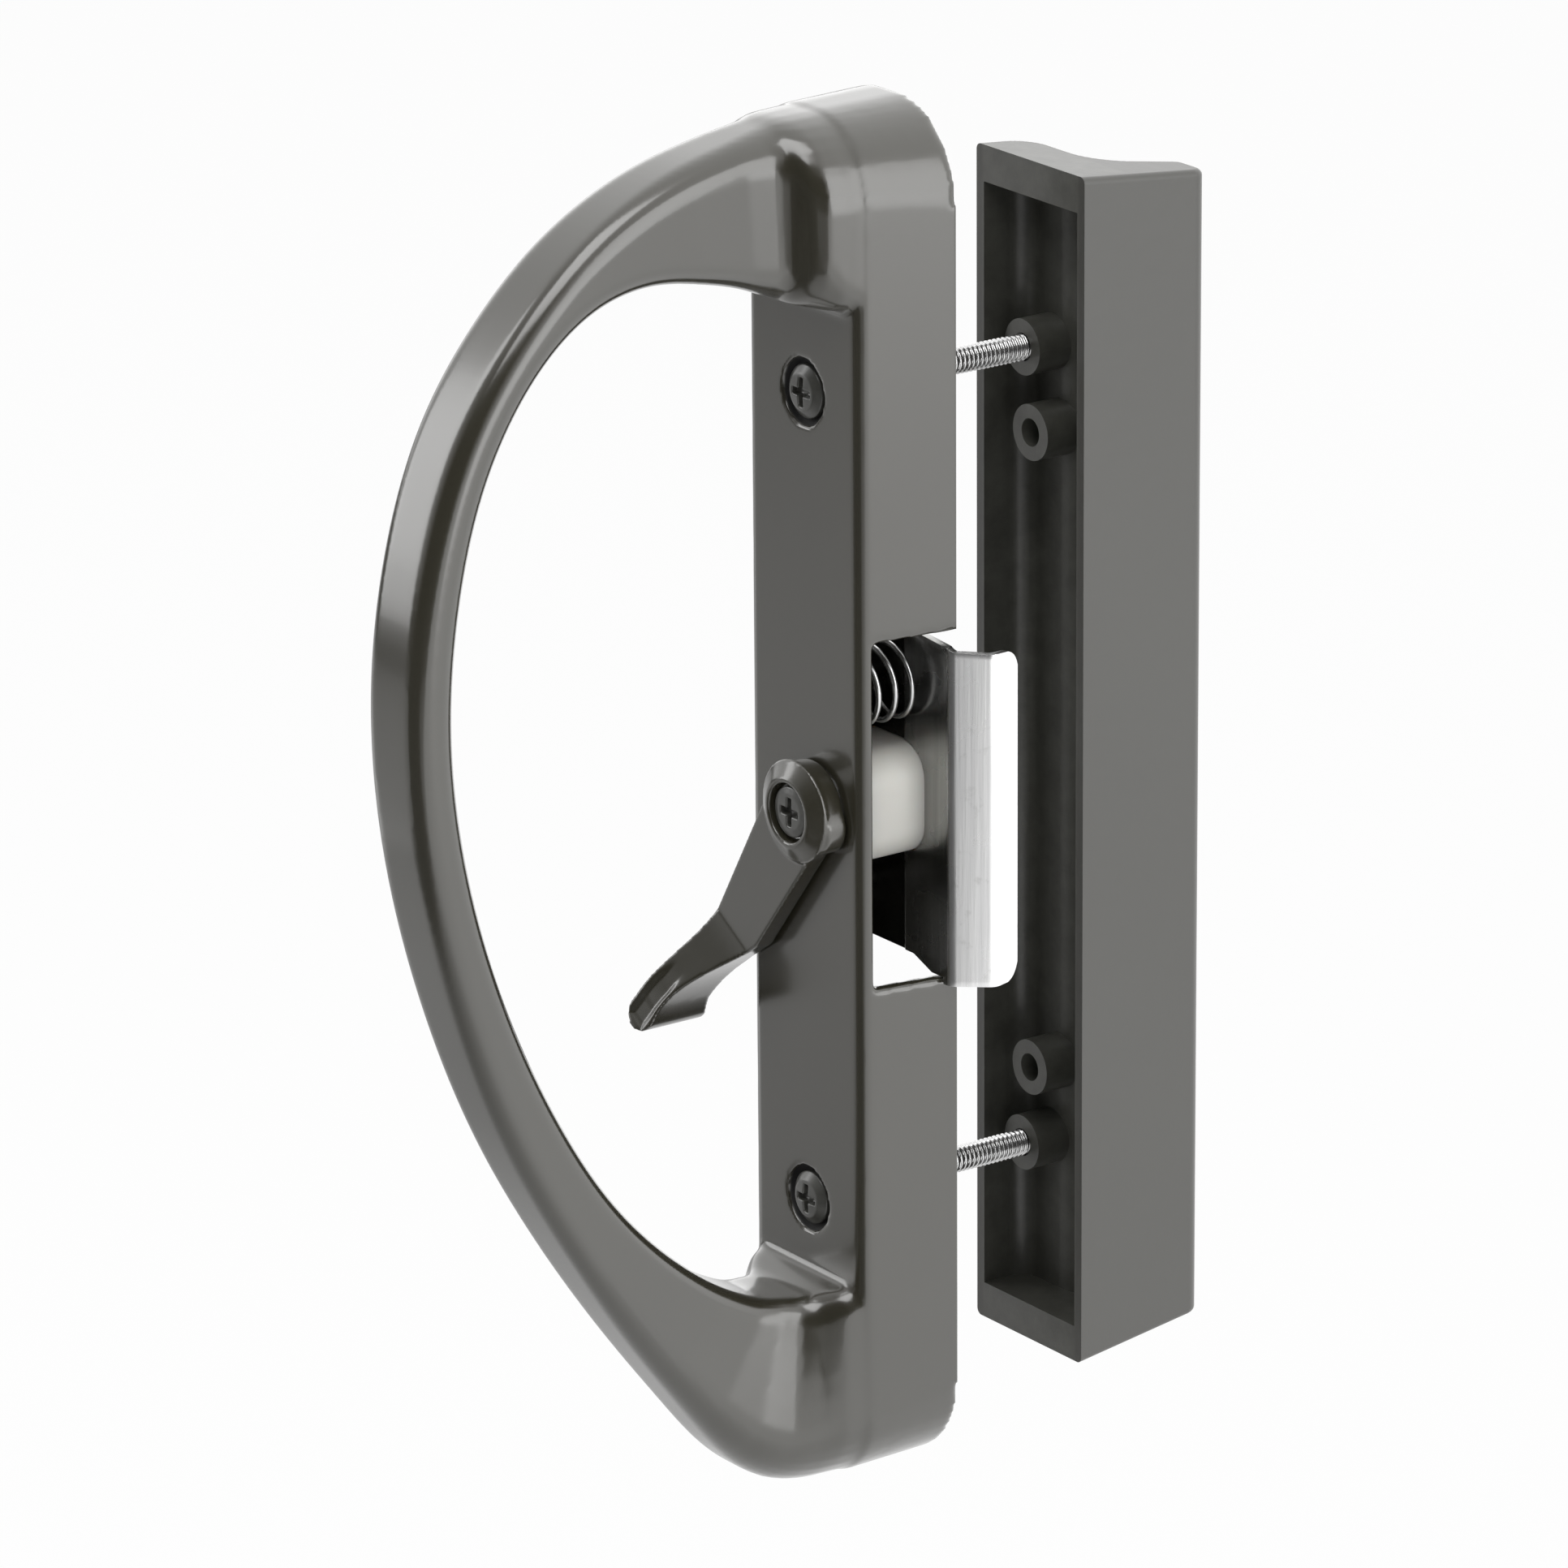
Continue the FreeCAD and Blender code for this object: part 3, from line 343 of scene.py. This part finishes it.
def keep_side(piece, place, direction):
    """Cut a piece by a plane at a place in mm and keep the side the direction points to.

    The fine threshold keeps the fill off rims that lie just beside the plane.
    """
    open_all(piece)
    bpy.ops.mesh.bisect(plane_co=tuple(c * MM for c in place), plane_no=direction,
                        use_fill=True, clear_inner=True, threshold=WELD / 10)
    bpy.ops.object.mode_set(mode="OBJECT")


def merge(pieces, name):
    """Join pieces into the first one."""
    bpy.ops.object.select_all(action="DESELECT")
    for piece in pieces:
        piece.select_set(True)
    bpy.context.view_layer.objects.active = pieces[0]
    bpy.ops.object.join()
    pieces[0].name = name
    return pieces[0]


def soften(piece, cell, rounds):
    """Rebuild a closed piece in small cells and ease its edges."""
    modify(piece, "REMESH", mode="VOXEL", voxel_size=cell * MM, use_smooth_shade=True)
    modify(piece, "SMOOTH", factor=0.5, iterations=rounds)
    pick(piece)
    bpy.ops.object.shade_smooth()


def smooth_shade(piece, degrees=35):
    """Smooth shading, but for edges sharper than an angle."""
    pick(piece)
    bpy.ops.object.shade_smooth_by_angle(angle=math.radians(degrees))


def loft(name, rings):
    """A closed skin over rings with equal numbers of points."""
    count = len(rings[0])
    points = [point for ring in rings for point in ring]
    faces = []
    for row in range(len(rings) - 1):
        for i in range(count):
            after = (i + 1) % count
            faces.append((row * count + i, row * count + after,
                          (row + 1) * count + after, (row + 1) * count + i))
    faces.append(tuple(reversed(range(count))))
    faces.append(tuple(range(len(points) - count, len(points))))
    piece = mesh_piece(name, points, faces)
    tidy_faces(piece)
    return piece


def natural_spline(at, values):
    """The second derivatives of a smooth curve through values at given places."""
    at, values = np.array(at), np.array(values, dtype=float)
    gaps = np.diff(at)
    slopes = np.diff(values, axis=0) / gaps[:, None]
    count = len(at)
    system = np.eye(count)
    right = np.zeros_like(values)
    for i in range(1, count - 1):
        system[i, i - 1:i + 2] = gaps[i - 1], 2 * (gaps[i - 1] + gaps[i]), gaps[i]
        right[i] = 6 * (slopes[i] - slopes[i - 1])
    return np.linalg.solve(system, right)


def spline_point(at, values, bends, place):
    """The smooth curve's point at a place."""
    i = min(max(int(np.searchsorted(at, place)) - 1, 0), len(at) - 2)
    gap = at[i + 1] - at[i]
    a, b = (at[i + 1] - place) / gap, (place - at[i]) / gap
    start, end = np.array(values[i]), np.array(values[i + 1])
    return (a * start + b * end
            + ((a ** 3 - a) * bends[i] + (b ** 3 - b) * bends[i + 1]) * gap * gap / 6)


def corner_arc(corner, before, after, radius, steps):
    """Points round one corner of a flat outline."""
    corner, before, after = (Vector(p) for p in (corner, before, after))
    inward, outward = (corner - before).normalized(), (after - corner).normalized()
    turn = inward.angle(outward)
    cut = radius * math.tan(turn / 2)
    centre = corner + (outward - inward).normalized() * radius / math.cos(turn / 2)
    spoke = corner - inward * cut - centre
    way = math.copysign(turn, inward.x * outward.y - inward.y * outward.x)
    return [centre + Matrix.Rotation(way * step / steps, 2) @ spoke for step in range(steps + 1)]


def circle(x, z, radius, steps):
    """A round outline as (x, z)."""
    turns = (2 * math.pi * i / steps for i in range(steps))
    return [(x + radius * math.cos(turn), z + radius * math.sin(turn)) for turn in turns]


def cut_prism(piece, outline, name, start=-CUT_REACH, end=CUT_REACH):
    """Cut a prism along Y, given by its outline (x, z) in mm, out of a piece."""
    rings = [[(x, y, z) for x, z in outline] for y in (start, end)]
    tool = loft(name, rings)
    modify(piece, "BOOLEAN", operation="DIFFERENCE", object=tool, solver="EXACT")
    bpy.data.objects.remove(tool)


def stand_for(piece, node, body):
    """Show a piece in place of a node of the frame, on its body."""
    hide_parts(node)
    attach(piece, body)


# Inside handle, in mm: the casting, with the grip modelled as one smooth loop
CASTING = {
    "depth": 16.0,                              # the housing, wall to front
    "half": 14.1, "flat": 2.0,                  # half its width, flat left on a rounded end
    "top": 105.1, "bottom": -105.5,             # the grip's ends
    "root": -14.5,                              # where the grip starts, inside the front wall
    "root_top": 105.14, "root_bottom": -105.43,
    "head": 75.0, "foot": -68.0,                # the root blocks' inner ends
    "reach": -88.8, "belly": 25.8,              # the grip's furthest point
    "thick": 7.4, "width": 14.0, "edge": 3.0,   # the grip's section and its rounding
}
CUT_PAST = 0.005        # the housing is cut from the grip this far before its front
GRIP_STEP = 1.6         # the grip's sections are this close
ARC_STEPS = 8
LEAST_FLAT = 0.2        # kept between two roundings of a section


def grip_stations():
    """The grip's sections from its upper root round to its lower one, in mm.

    Each is an outer point and an inner point (y, z), an outer and an inner width, and an
    outer and an inner rounding.
    """
    s = CASTING
    root, reach, belly, thick = s["root"], s["reach"], s["belly"], s["thick"]
    top, bottom, head, foot = s["top"], s["bottom"], s["head"], s["foot"]
    full, end, width, edge = 2 * (s["half"] - 0.2), s["half"] - s["flat"], s["width"], s["edge"]
    return [
        ((root, s["root_top"]), (root, head + 2), full, full, end, edge),
        ((root - 3.5, top), (root - 3.5, head + 2.3), full - 0.5, full - 0.7, end - 0.2, edge + 2),
        ((root - 6, top - 0.1), (root - 6, head + 2.6), full - 1, full - 1.6, end - 0.4, edge + 5),
        ((root - 8, top - 0.3), (root - 7.6, head + 3), full - 4, full - 5, end - 1.6, edge + 5),
        ((root - 9.5, top - 0.7), (root - 8.8, head + 3.7), width + 3.4, width + 3, 7, edge + 3),
        ((root - 11.5, top - 1.1), (root - 10.3, head + 4.3), width + 1, width + 1, 5.5, edge + 1.5),
        ((root - 16, top - 2), (root - 14.2, head + 5.9), width + 0.2, width + 0.2, 4.5, edge + 0.5),
        ((root - 26, top - 4.4), (root - 23, head + 8.4), width, width, edge + 1, edge),
        ((root - 36, top - 8.5), (root - 31, head + 9.5), width, width, edge + 0.5, edge),
        ((reach + 28.3, top - 15), (reach + 34, head + 7.8), width, width, edge, edge),
        ((reach + 18.2, top - 24.8), (reach + 24.1, head + 0.9), width, width, edge, edge),
        ((reach + 9.4, belly + 41.8), (reach + 15.8, belly + 38.4), width, width, edge, edge),
        ((reach + 2.4, belly + 21.4), (reach + 2.3 + thick, belly + 20.4), width, width, edge, edge),
        ((reach, belly), (reach + thick, belly), width, width, edge, edge),
        ((reach + 1.9, belly - 22.5), (reach + 2 + thick, belly - 21.1), width, width, edge, edge),
        ((reach + 7.8, belly - 46.1), (reach + 8.1 + thick, belly - 43.2), width, width, edge, edge),
        ((reach + 18, belly - 71.1), (reach + 18.9 + thick, belly - 66.7), width, width, edge, edge),
        ((reach + 28, bottom + 42.9), (reach + 37.1, foot + 11.4), width, width, edge, edge),
        ((reach + 41.3, bottom + 23.6), (root - 20.6, foot - 3), width + 0.6, width, edge + 1, edge),
        ((root - 25.2, bottom + 13.5), (root - 14, foot - 6.3), width + 2.4, width + 0.2, 5, edge),
        ((root - 19, bottom + 6.2), (root - 11, foot - 7), width + 5, width + 1, 6.5, edge),
        ((root - 13, bottom + 1.8), (root - 8.2, foot - 7.3), full - 5.6, width + 2.6, 8, edge + 0.5),
        ((root - 8, bottom + 0.2), (root - 6, foot - 7.2), full - 2.6, width + 6, end - 2, edge + 1),
        ((root - 4, bottom), (root - 3.5, foot - 6.2), full - 0.8, full - 2.6, end - 0.4, edge + 0.5),
        ((root, s["root_bottom"]), (root, foot - 5), full, full, end, edge),
    ]


def grip_ring(outer, inner, outer_width, inner_width, outer_round, inner_round):
    """The points of one rounded section across the grip."""
    outer, inner = Vector((0, *outer)), Vector((0, *inner))
    tall = (outer - inner).length
    outer_round = min(outer_round, outer_width / 2 - LEAST_FLAT, tall - inner_round - LEAST_FLAT)
    corners = [((outer_width / 2, tall), outer_round), ((-outer_width / 2, tall), outer_round),
               ((-inner_width / 2, 0), inner_round), ((inner_width / 2, 0), inner_round)]
    across, up = Vector((1, 0, 0)), (outer - inner).normalized()
    ring = []
    for i, (corner, radius) in enumerate(corners):
        before, after = corners[i - 1][0], corners[(i + 1) % 4][0]
        for point in corner_arc(corner, before, after, radius, ARC_STEPS):
            ring.append(inner + across * point.x + up * point.y)
        last, following = ring[-1], corners[(i + 1) % 4]
        ahead = corner_arc(following[0], corner, corners[(i + 2) % 4][0], following[1], 1)[0]
        target = inner + across * ahead.x + up * ahead.y
        ring += [last.lerp(target, share / 4) for share in (1, 2, 3)]
    return ring


def make_grip():
    """The grip as one skin, its sections close together on two smooth routes."""
    stations = grip_stations()
    routes = [[station[side] for station in stations] for side in (0, 1)]
    at = [0.0]
    for i in range(len(stations) - 1):
        step = sum(math.dist(route[i], route[i + 1]) for route in routes) / 2
        at.append(at[-1] + step)
    bends = [natural_spline(at, route) for route in routes]
    rings = []
    for i in range(len(stations) - 1):
        spans = math.ceil((at[i + 1] - at[i]) / GRIP_STEP)
        for step in range(spans):
            share = step / spans
            place = at[i] + (at[i + 1] - at[i]) * share
            ends = [spline_point(at, route, bend, place) for route, bend in zip(routes, bends)]
            form = [a + (b - a) * share for a, b in zip(stations[i][2:], stations[i + 1][2:])]
            rings.append(grip_ring(*ends, *form))
    rings.append(grip_ring(*stations[-1]))
    return loft("grip_loop", rings)


def make_casting():
    """Housing and grip in one, with every edge eased as paint and casting leave it."""
    housing = copy_of("handle_casting", "housing_tray")
    keep_side(housing, (0, -CASTING["depth"] - CUT_PAST, 0), (0, 1, 0))
    tidy_faces(housing)
    casting = merge([housing, make_grip()], "inside_handle")
    soften(casting, cell=0.5, rounds=4)
    modify(casting, "DECIMATE", ratio=0.54)
    smooth_shade(casting, 60)
    dress(casting, "black_gloss")
    stand_for(casting, "handle_casting", "handle")


# Mounting screws, in mm: black cross-recessed heads on threaded zinc shanks
SCREW_SEAT = -14.6
SCREW_RADIUS = 2.05
SCREW_PITCH = 0.79
THREAD_DEPTH = 0.34
THREAD_CREST = 1.25     # over 1, so the thread's root has a flat
POINT_SHARE = 0.55      # the shank's radius at its point
POINT_LENGTH = 1.6


def make_shank(name, x, z, start, end):
    """A threaded shank along Y, its thread a helical groove and its point tapered."""
    around, per_turn = 28, 8
    rows = round((end - start) / SCREW_PITCH * per_turn)
    rings = []
    for row in range(rows + 1):
        y = start + (end - start) * row / rows
        taper = min(1.0, POINT_SHARE + (end - y) / POINT_LENGTH)
        ring = []
        for i in range(around):
            turn = 2 * math.pi * i / around
            phase = (y / SCREW_PITCH - i / around) % 1
            depth = THREAD_DEPTH * min(1.0, THREAD_CREST * (1 - abs(2 * phase - 1)))
            radius = (SCREW_RADIUS - depth) * taper
            ring.append((x + radius * math.cos(turn), y, z + radius * math.sin(turn)))
        rings.append(ring)
    shank = loft(name, rings)
    smooth_shade(shank, 50)
    return shank


def make_mounting_screw(node):
    """The head from the frame with its edges eased, on a threaded shank."""
    low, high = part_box(node)
    x, z = ((low[i] + high[i]) / 2 / MM for i in (0, 2))
    head = copy_of(node, node + "_head")
    keep_side(head, (0, SCREW_SEAT + 0.01, 0), (0, -1, 0))
    tidy_faces(head)
    soften(head, cell=0.13, rounds=4)
    dress(head, "black_screw")
    shank = make_shank(node + "_thread", x, z, SCREW_SEAT - 0.3, high[1] / MM)
    dress(shank, "screw_zinc")
    stand_for(merge([head, shank], node + "_seen"), node, "handle")


# Thumb lever, in mm along the lever from its pivot and aside from its line
LEVER_SWING = 31        # degrees from straight down
TAB_START = 37
TAB_END = 49
TAB_MIDDLE = -4.3
TAB_HALF = 2.8
TAB_RIM = 0.6
DISH_SLOPE = 1.1
DISH_RUN_IN = 4
DISH_DEPTH = 0.55


def make_lever():
    """The lever with its edges eased and its thumb tab dished inside a raised rim."""
    lever = copy_of("thumb_lever", "lever_casting")
    soften(lever, cell=0.26, rounds=5)
    pivot = Vector((PIVOT_X, 0, 0))
    swing = math.radians(LEVER_SWING)
    along = Vector((-math.sin(swing), 0, -math.cos(swing)))
    across = Vector((math.cos(swing), 0, -math.sin(swing)))
    for vertex in lever.data.vertices:
        place = vertex.co / MM - pivot
        down, side = place.dot(along), place.dot(across)
        faces_room = vertex.normal.y < -0.35
        if down > TAB_START and faces_room:
            edge = min(TAB_HALF - abs(side - TAB_MIDDLE), TAB_END - down)
            share = min(max((edge - TAB_RIM) / DISH_SLOPE, 0), 1)
            share *= min((down - TAB_START) / DISH_RUN_IN, 1)
            vertex.co.y += DISH_DEPTH * MM * share * share * (3 - 2 * share)
    dress(lever, "black_gloss")
    stand_for(lever, "thumb_lever", "lever")


def make_lever_screw():
    screw = copy_of("lever_screw", "lever_screw_seen")
    soften(screw, cell=0.13, rounds=4)
    dress(screw, "worn_screw")
    stand_for(screw, "lever_screw", "lever")


# Clamp: nylon block, spring and pressed jaw, in mm
BLOCK_HALF = 8.5
BLOCK_ROUND = 5.2
BLOCK_FRONT = -13.5
BLOCK_BACK = -1.25
BEARING_RADIUS = 6.4
BEARING_FLOOR = -10.5
SPINDLE_BACK = -10.6
FLANGE_FRONT = -1.19
JAW_MIDDLE = -2.1
JAW_THICK = 1.2
JAW_TOP = 26.2
JAW_BOTTOM = -26.9
CREASE_SHIFT = 0.35     # the plate lies this much deeper beyond its crease
LIP_DROP = 1.6          # the lip's top is lower than the plate's
LIP_CORNER = 3.2
WINDOW_PLAY = 0.15
POST_X = -6.2
POST_HEIGHT = 16.5
POST_HOLE = 2.1
STEP_LOW = -25.9        # the jaw's lower edge, and where it steps up for the housing
STEP_HIGH = -24.2
STEPS_PER_TURN = 40


def block_outline(half, radius, steps=8):
    """A rounded square about the lever's pivot, as (x, z)."""
    corners = [(half, half), (-half, half), (-half, -half), (half, -half)]
    points = []
    for i, corner in enumerate(corners):
        points += corner_arc(corner, corners[i - 1], corners[(i + 1) % 4], radius, steps)
    return [(PIVOT_X + point.x, point.y) for point in points]


def make_cam():
    """White nylon block on its spindle, with a round flange behind the jaw."""
    def ring(half, radius, y):
        return [(x, y, z) for x, z in block_outline(half, radius)]

    eased = [ring(BLOCK_HALF - pull, BLOCK_ROUND - pull, BLOCK_FRONT + run)
             for pull, run in ((0.5, 0), (0.15, 0.15), (0, 0.5))]
    block = loft("cam_block", eased + [ring(BLOCK_HALF, BLOCK_ROUND, BLOCK_BACK)])
    cut_prism(block, circle(PIVOT_X, 0, BEARING_RADIUS, 48), "bearing_tool", end=BEARING_FLOOR)
    spindle = copy_of("latch_cam", "cam_spindle")
    keep_side(spindle, (0, SPINDLE_BACK, 0), (0, -1, 0))
    flange = copy_of("latch_cam", "cam_flange")
    keep_side(flange, (0, FLANGE_FRONT, 0), (0, 1, 0))
    parts = [block, spindle, flange]
    for part in parts:
        smooth_shade(part)
    cam = merge(parts, "nylon_cam")
    dress(cam, "white_nylon")
    stand_for(cam, "latch_cam", "lever")


def make_spring():
    """Round wire along a helix."""
    start, end, turns, first = -13.3, -3.45, 3.25, math.radians(60)
    middle, height, radius, wire = 5.5, 18.3, 5.85, 0.45
    curve = bpy.data.curves.new("spring_route", "CURVE")
    curve.dimensions = "3D"
    curve.bevel_depth = wire * MM
    curve.bevel_resolution = 5
    curve.use_fill_caps = True
    route = curve.splines.new("POLY")
    steps = round(turns * STEPS_PER_TURN)
    route.points.add(steps)
    for step, point in enumerate(route.points):
        share = step / steps
        angle = first + 2 * math.pi * turns * share
        point.co = ((middle + radius * math.cos(angle)) * MM, (start + (end - start) * share) * MM,
                    (height - radius * math.sin(angle)) * MM, 1)
    spring = bpy.data.objects.new("spring_coil", curve)
    bpy.context.collection.objects.link(spring)
    pick(spring)
    bpy.ops.object.convert(target="MESH")
    smooth_shade(spring, 60)
    dress(spring, "spring_wire")
    stand_for(spring, "clamp_spring", "handle")
    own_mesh(spring)


def rounded_run(points, steps=6):
    """A flat run through (x, y, radius) with its bends rounded."""
    run = [Vector(points[0][:2])]
    for before, here, after in zip(points, points[1:], points[2:]):
        run += corner_arc(here[:2], before[:2], after[:2], here[2], steps)
    return run + [Vector(points[-1][:2])]


def make_jaw():
    """Pressed sheet: a plate with a shallow crease, a window, two holes and a hooked lip."""
    beyond = JAW_MIDDLE + CREASE_SHIFT
    run = rounded_run([(-11.8, beyond, 0), (6.2, beyond, 0.6), (6.9, JAW_MIDDLE, 0.6),
                       (17.6, JAW_MIDDLE, 1.6), (21.4, 2.7, 1.5), (20.9, 5.2, 1.5), (20.2, 7.4, 0)])
    free, last = run[-1], run[-2]
    run = run[:-1] + [last.lerp(free, share) for share in (0.3, 0.55, 0.75, 0.88, 0.96, 1)]
    rows, corner = 60, LIP_CORNER
    columns = []
    for point in run:
        on_lip = point.y > 3
        inset = max(corner - (free - point).length, 0) if on_lip else 0
        drop = corner - math.sqrt(corner ** 2 - min(inset, corner - 0.05) ** 2)
        top = JAW_TOP - LIP_DROP * min(max((point.x - 15.2) / 3.4, 0), 1) - drop
        columns.append((point, top, JAW_BOTTOM + drop))
    points = [(p.x, p.y, top + (bottom - top) * row / rows)
              for row in range(rows + 1) for p, top, bottom in columns]
    wide = len(run)
    faces = [(row * wide + i, row * wide + i + 1, (row + 1) * wide + i + 1, (row + 1) * wide + i)
             for row in range(rows) for i in range(wide - 1)]
    jaw = mesh_piece("jaw_sheet", points, faces)
    modify(jaw, "SOLIDIFY", thickness=JAW_THICK * MM, offset=0)
    tidy_faces(jaw)
    cut_prism(jaw, block_outline(BLOCK_HALF + WINDOW_PLAY, BLOCK_ROUND), "window_tool")
    for height in (POST_HEIGHT, -POST_HEIGHT):
        cut_prism(jaw, circle(POST_X, height, POST_HOLE, 32), "post_hole_tool")
    bend = corner_arc((8.8, STEP_HIGH), (-20, STEP_HIGH), (13.3, STEP_LOW), 1.0, 4)
    step = [(-20, -40), (-20, STEP_HIGH), *((p.x, p.y) for p in bend),
            (13.3, STEP_LOW), (16.2, STEP_LOW), (16.2, -40)]
    cut_prism(jaw, step, "step_up_tool")
    modify(jaw, "BEVEL", width=0.22 * MM, segments=3, angle_limit=math.radians(50))
    smooth_shade(jaw, 40)
    return jaw


def make_clamp():
    """The jaw, plain zinc on its lip and with painted shade inside the housing."""
    jaw = make_jaw()
    jaw.name = "clamp_sheet"
    dress(jaw, "zinc", "clamp_shaded_inside")
    # Faces inside the housing take the zinc with painted shade.
    for face in jaw.data.polygons:
        if face.center.x < 17.2 * MM and face.center.y < 0.5 * MM:
            face.material_index = 1
    stand_for(jaw, "clamp_jaw", "clamp")


make_casting()
for node in ("mounting_screw_upper", "mounting_screw_lower"):
    make_mounting_screw(node)
make_lever()
make_lever_screw()
make_cam()
make_spring()
make_clamp()
dress(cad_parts["exterior_pull"], "black_satin")
dress(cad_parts["lever_washer"], "zinc")


# Studio, in metres
FLOOR = -0.42
FLOOR_SPREAD = math.sqrt(2)     # a place on the floor counts as a direction, times this
WHITE_LEVEL, LEFT_LEVEL, BASE_LEVEL, ROOM_LEVEL = 1.5, 0.2, 0.45, 0.03
LAMPS = (("key_top", (0.3, -0.5, 1.3), (1.0, 1.0), 12),
         ("side_right", (1.6, 0.5, 0.4), (0.8, 1.6), 10),
         ("side_left", (-1.2, -0.9, 0.5), (0.35, 1.4), 5),
         ("low_left", (-0.73, -0.52, -0.28), (0.9, 0.26), 0.4),
         ("low_right", (0.72, -0.62, -0.30), (0.4, 0.26), 0.16))


def sweep_level(along_x, along_y, side, back, room):
    """How bright mirrors see the studio: dark in the room, white behind the object."""
    behind = (along_x * side + along_y * back) * 0.8 + 0.5
    left = ((along_x * -0.8 - along_y * 0.2 - 0.5) * 4).clamp()
    return (1 - room) * (behind.clamp() * WHITE_LEVEL + left * LEFT_LEVEL + BASE_LEVEL) + ROOM_LEVEL


def make_floor():
    """A white table: the camera sees it evenly lit, mirrors see it darken towards the room."""
    bpy.ops.mesh.primitive_plane_add(size=30, location=(0, 0, FLOOR))
    floor = bpy.context.object
    floor.name = "studio_floor"
    look = Finish("studio_white")
    seen = look.node("ShaderNodeLightPath")
    mirrored = look.node("ShaderNodeLightPath", output=3)
    along_x, along_y = look.along(0) * FLOOR_SPREAD, look.along(1) * FLOOR_SPREAD
    room = ((along_x * -0.1 - along_y * 0.99 - 0.71) * 6).clamp()
    level = mirrored * 0.9 * sweep_level(along_x, along_y, 0.7, 0.75, room) + (1 - mirrored)
    diffuse = look.node("ShaderNodeBsdfDiffuse", Color=shade(0.86, 0.86, 0.86))
    glow = look.node("ShaderNodeEmission", Color=shade(1, 1, 1), Strength=level)
    mixer = look.node("ShaderNodeMixShader").socket.node
    look.tree.links.new((seen * 0.94 + mirrored * 0.9).clamp().socket, mixer.inputs[0])
    look.tree.links.new(diffuse.socket, mixer.inputs[1])
    look.tree.links.new(glow.socket, mixer.inputs[2])
    look.tree.links.new(mixer.outputs[0], look.output.inputs[0])
    floor.data.materials.append(look.material)


def make_world():
    """A white sweep behind the object and a dim room in front of it, as mirrors see them."""
    world = bpy.data.worlds.new("studio")
    bpy.context.scene.world = world
    world.use_nodes = True
    tree = world.node_tree
    back = tree.nodes["Background"]
    path = tree.nodes.new("ShaderNodeLightPath")
    where = tree.nodes.new("ShaderNodeTexCoord")
    split = tree.nodes.new("ShaderNodeSeparateXYZ")
    tree.links.new(where.outputs["Generated"], split.inputs[0])
    along_x, along_y = Value(tree, split.outputs[0]), Value(tree, split.outputs[1])
    mirrored = Value(tree, path.outputs["Is Glossy Ray"])
    seen = Value(tree, path.outputs["Is Camera Ray"])
    plain = 0.6 * (1 - mirrored - seen) + seen
    room = ((along_x * 0.5 - along_y * 0.87 - 0.5) * 4).clamp()
    level = plain + mirrored * sweep_level(along_x, along_y, -0.1, 0.9, room)
    tree.links.new(level.socket, back.inputs["Strength"])
    back.inputs["Color"].default_value = shade(1, 1, 1)


def make_lamp(name, place, size, power):
    """A soft box that points at the object and that the camera doesn't see."""
    bpy.ops.object.light_add(type="AREA", location=place)
    lamp = bpy.context.object
    lamp.name = name
    lamp.data.shape = "RECTANGLE"
    lamp.data.size, lamp.data.size_y = size
    lamp.data.energy = power
    lamp.visible_camera = False
    lamp.rotation_euler = (-Vector(place)).to_track_quat("-Z", "Y").to_euler()


def make_camera():
    """The photograph's view: a long lens, without shift."""
    azimuth, elevation, roll = (math.radians(a) for a in (54.55, 18.4, -0.42))
    origin_seen = Vector((16.14, 0.57, -1431.2)) * MM
    right = Vector((math.cos(azimuth), math.sin(azimuth), 0))
    back = Vector((math.sin(azimuth) * math.cos(elevation),
                   -math.cos(azimuth) * math.cos(elevation), math.sin(elevation)))
    level = Matrix((right, back.cross(right), back))
    view = Matrix.Rotation(-roll, 3, "Z") @ level
    data = bpy.data.cameras.new("photo_view")
    data.sensor_width = 36
    data.lens = 221.29
    data.clip_end = 50
    camera = bpy.data.objects.new("photo_view", data)
    bpy.context.collection.objects.link(camera)
    turn = view.transposed()
    camera.matrix_world = Matrix.Translation(turn @ -origin_seen) @ turn.to_4x4()
    bpy.context.scene.camera = camera


make_floor()
make_world()
make_camera()
for lamp in LAMPS:
    make_lamp(*lamp)

bpy.context.scene.view_settings.view_transform = "Standard"
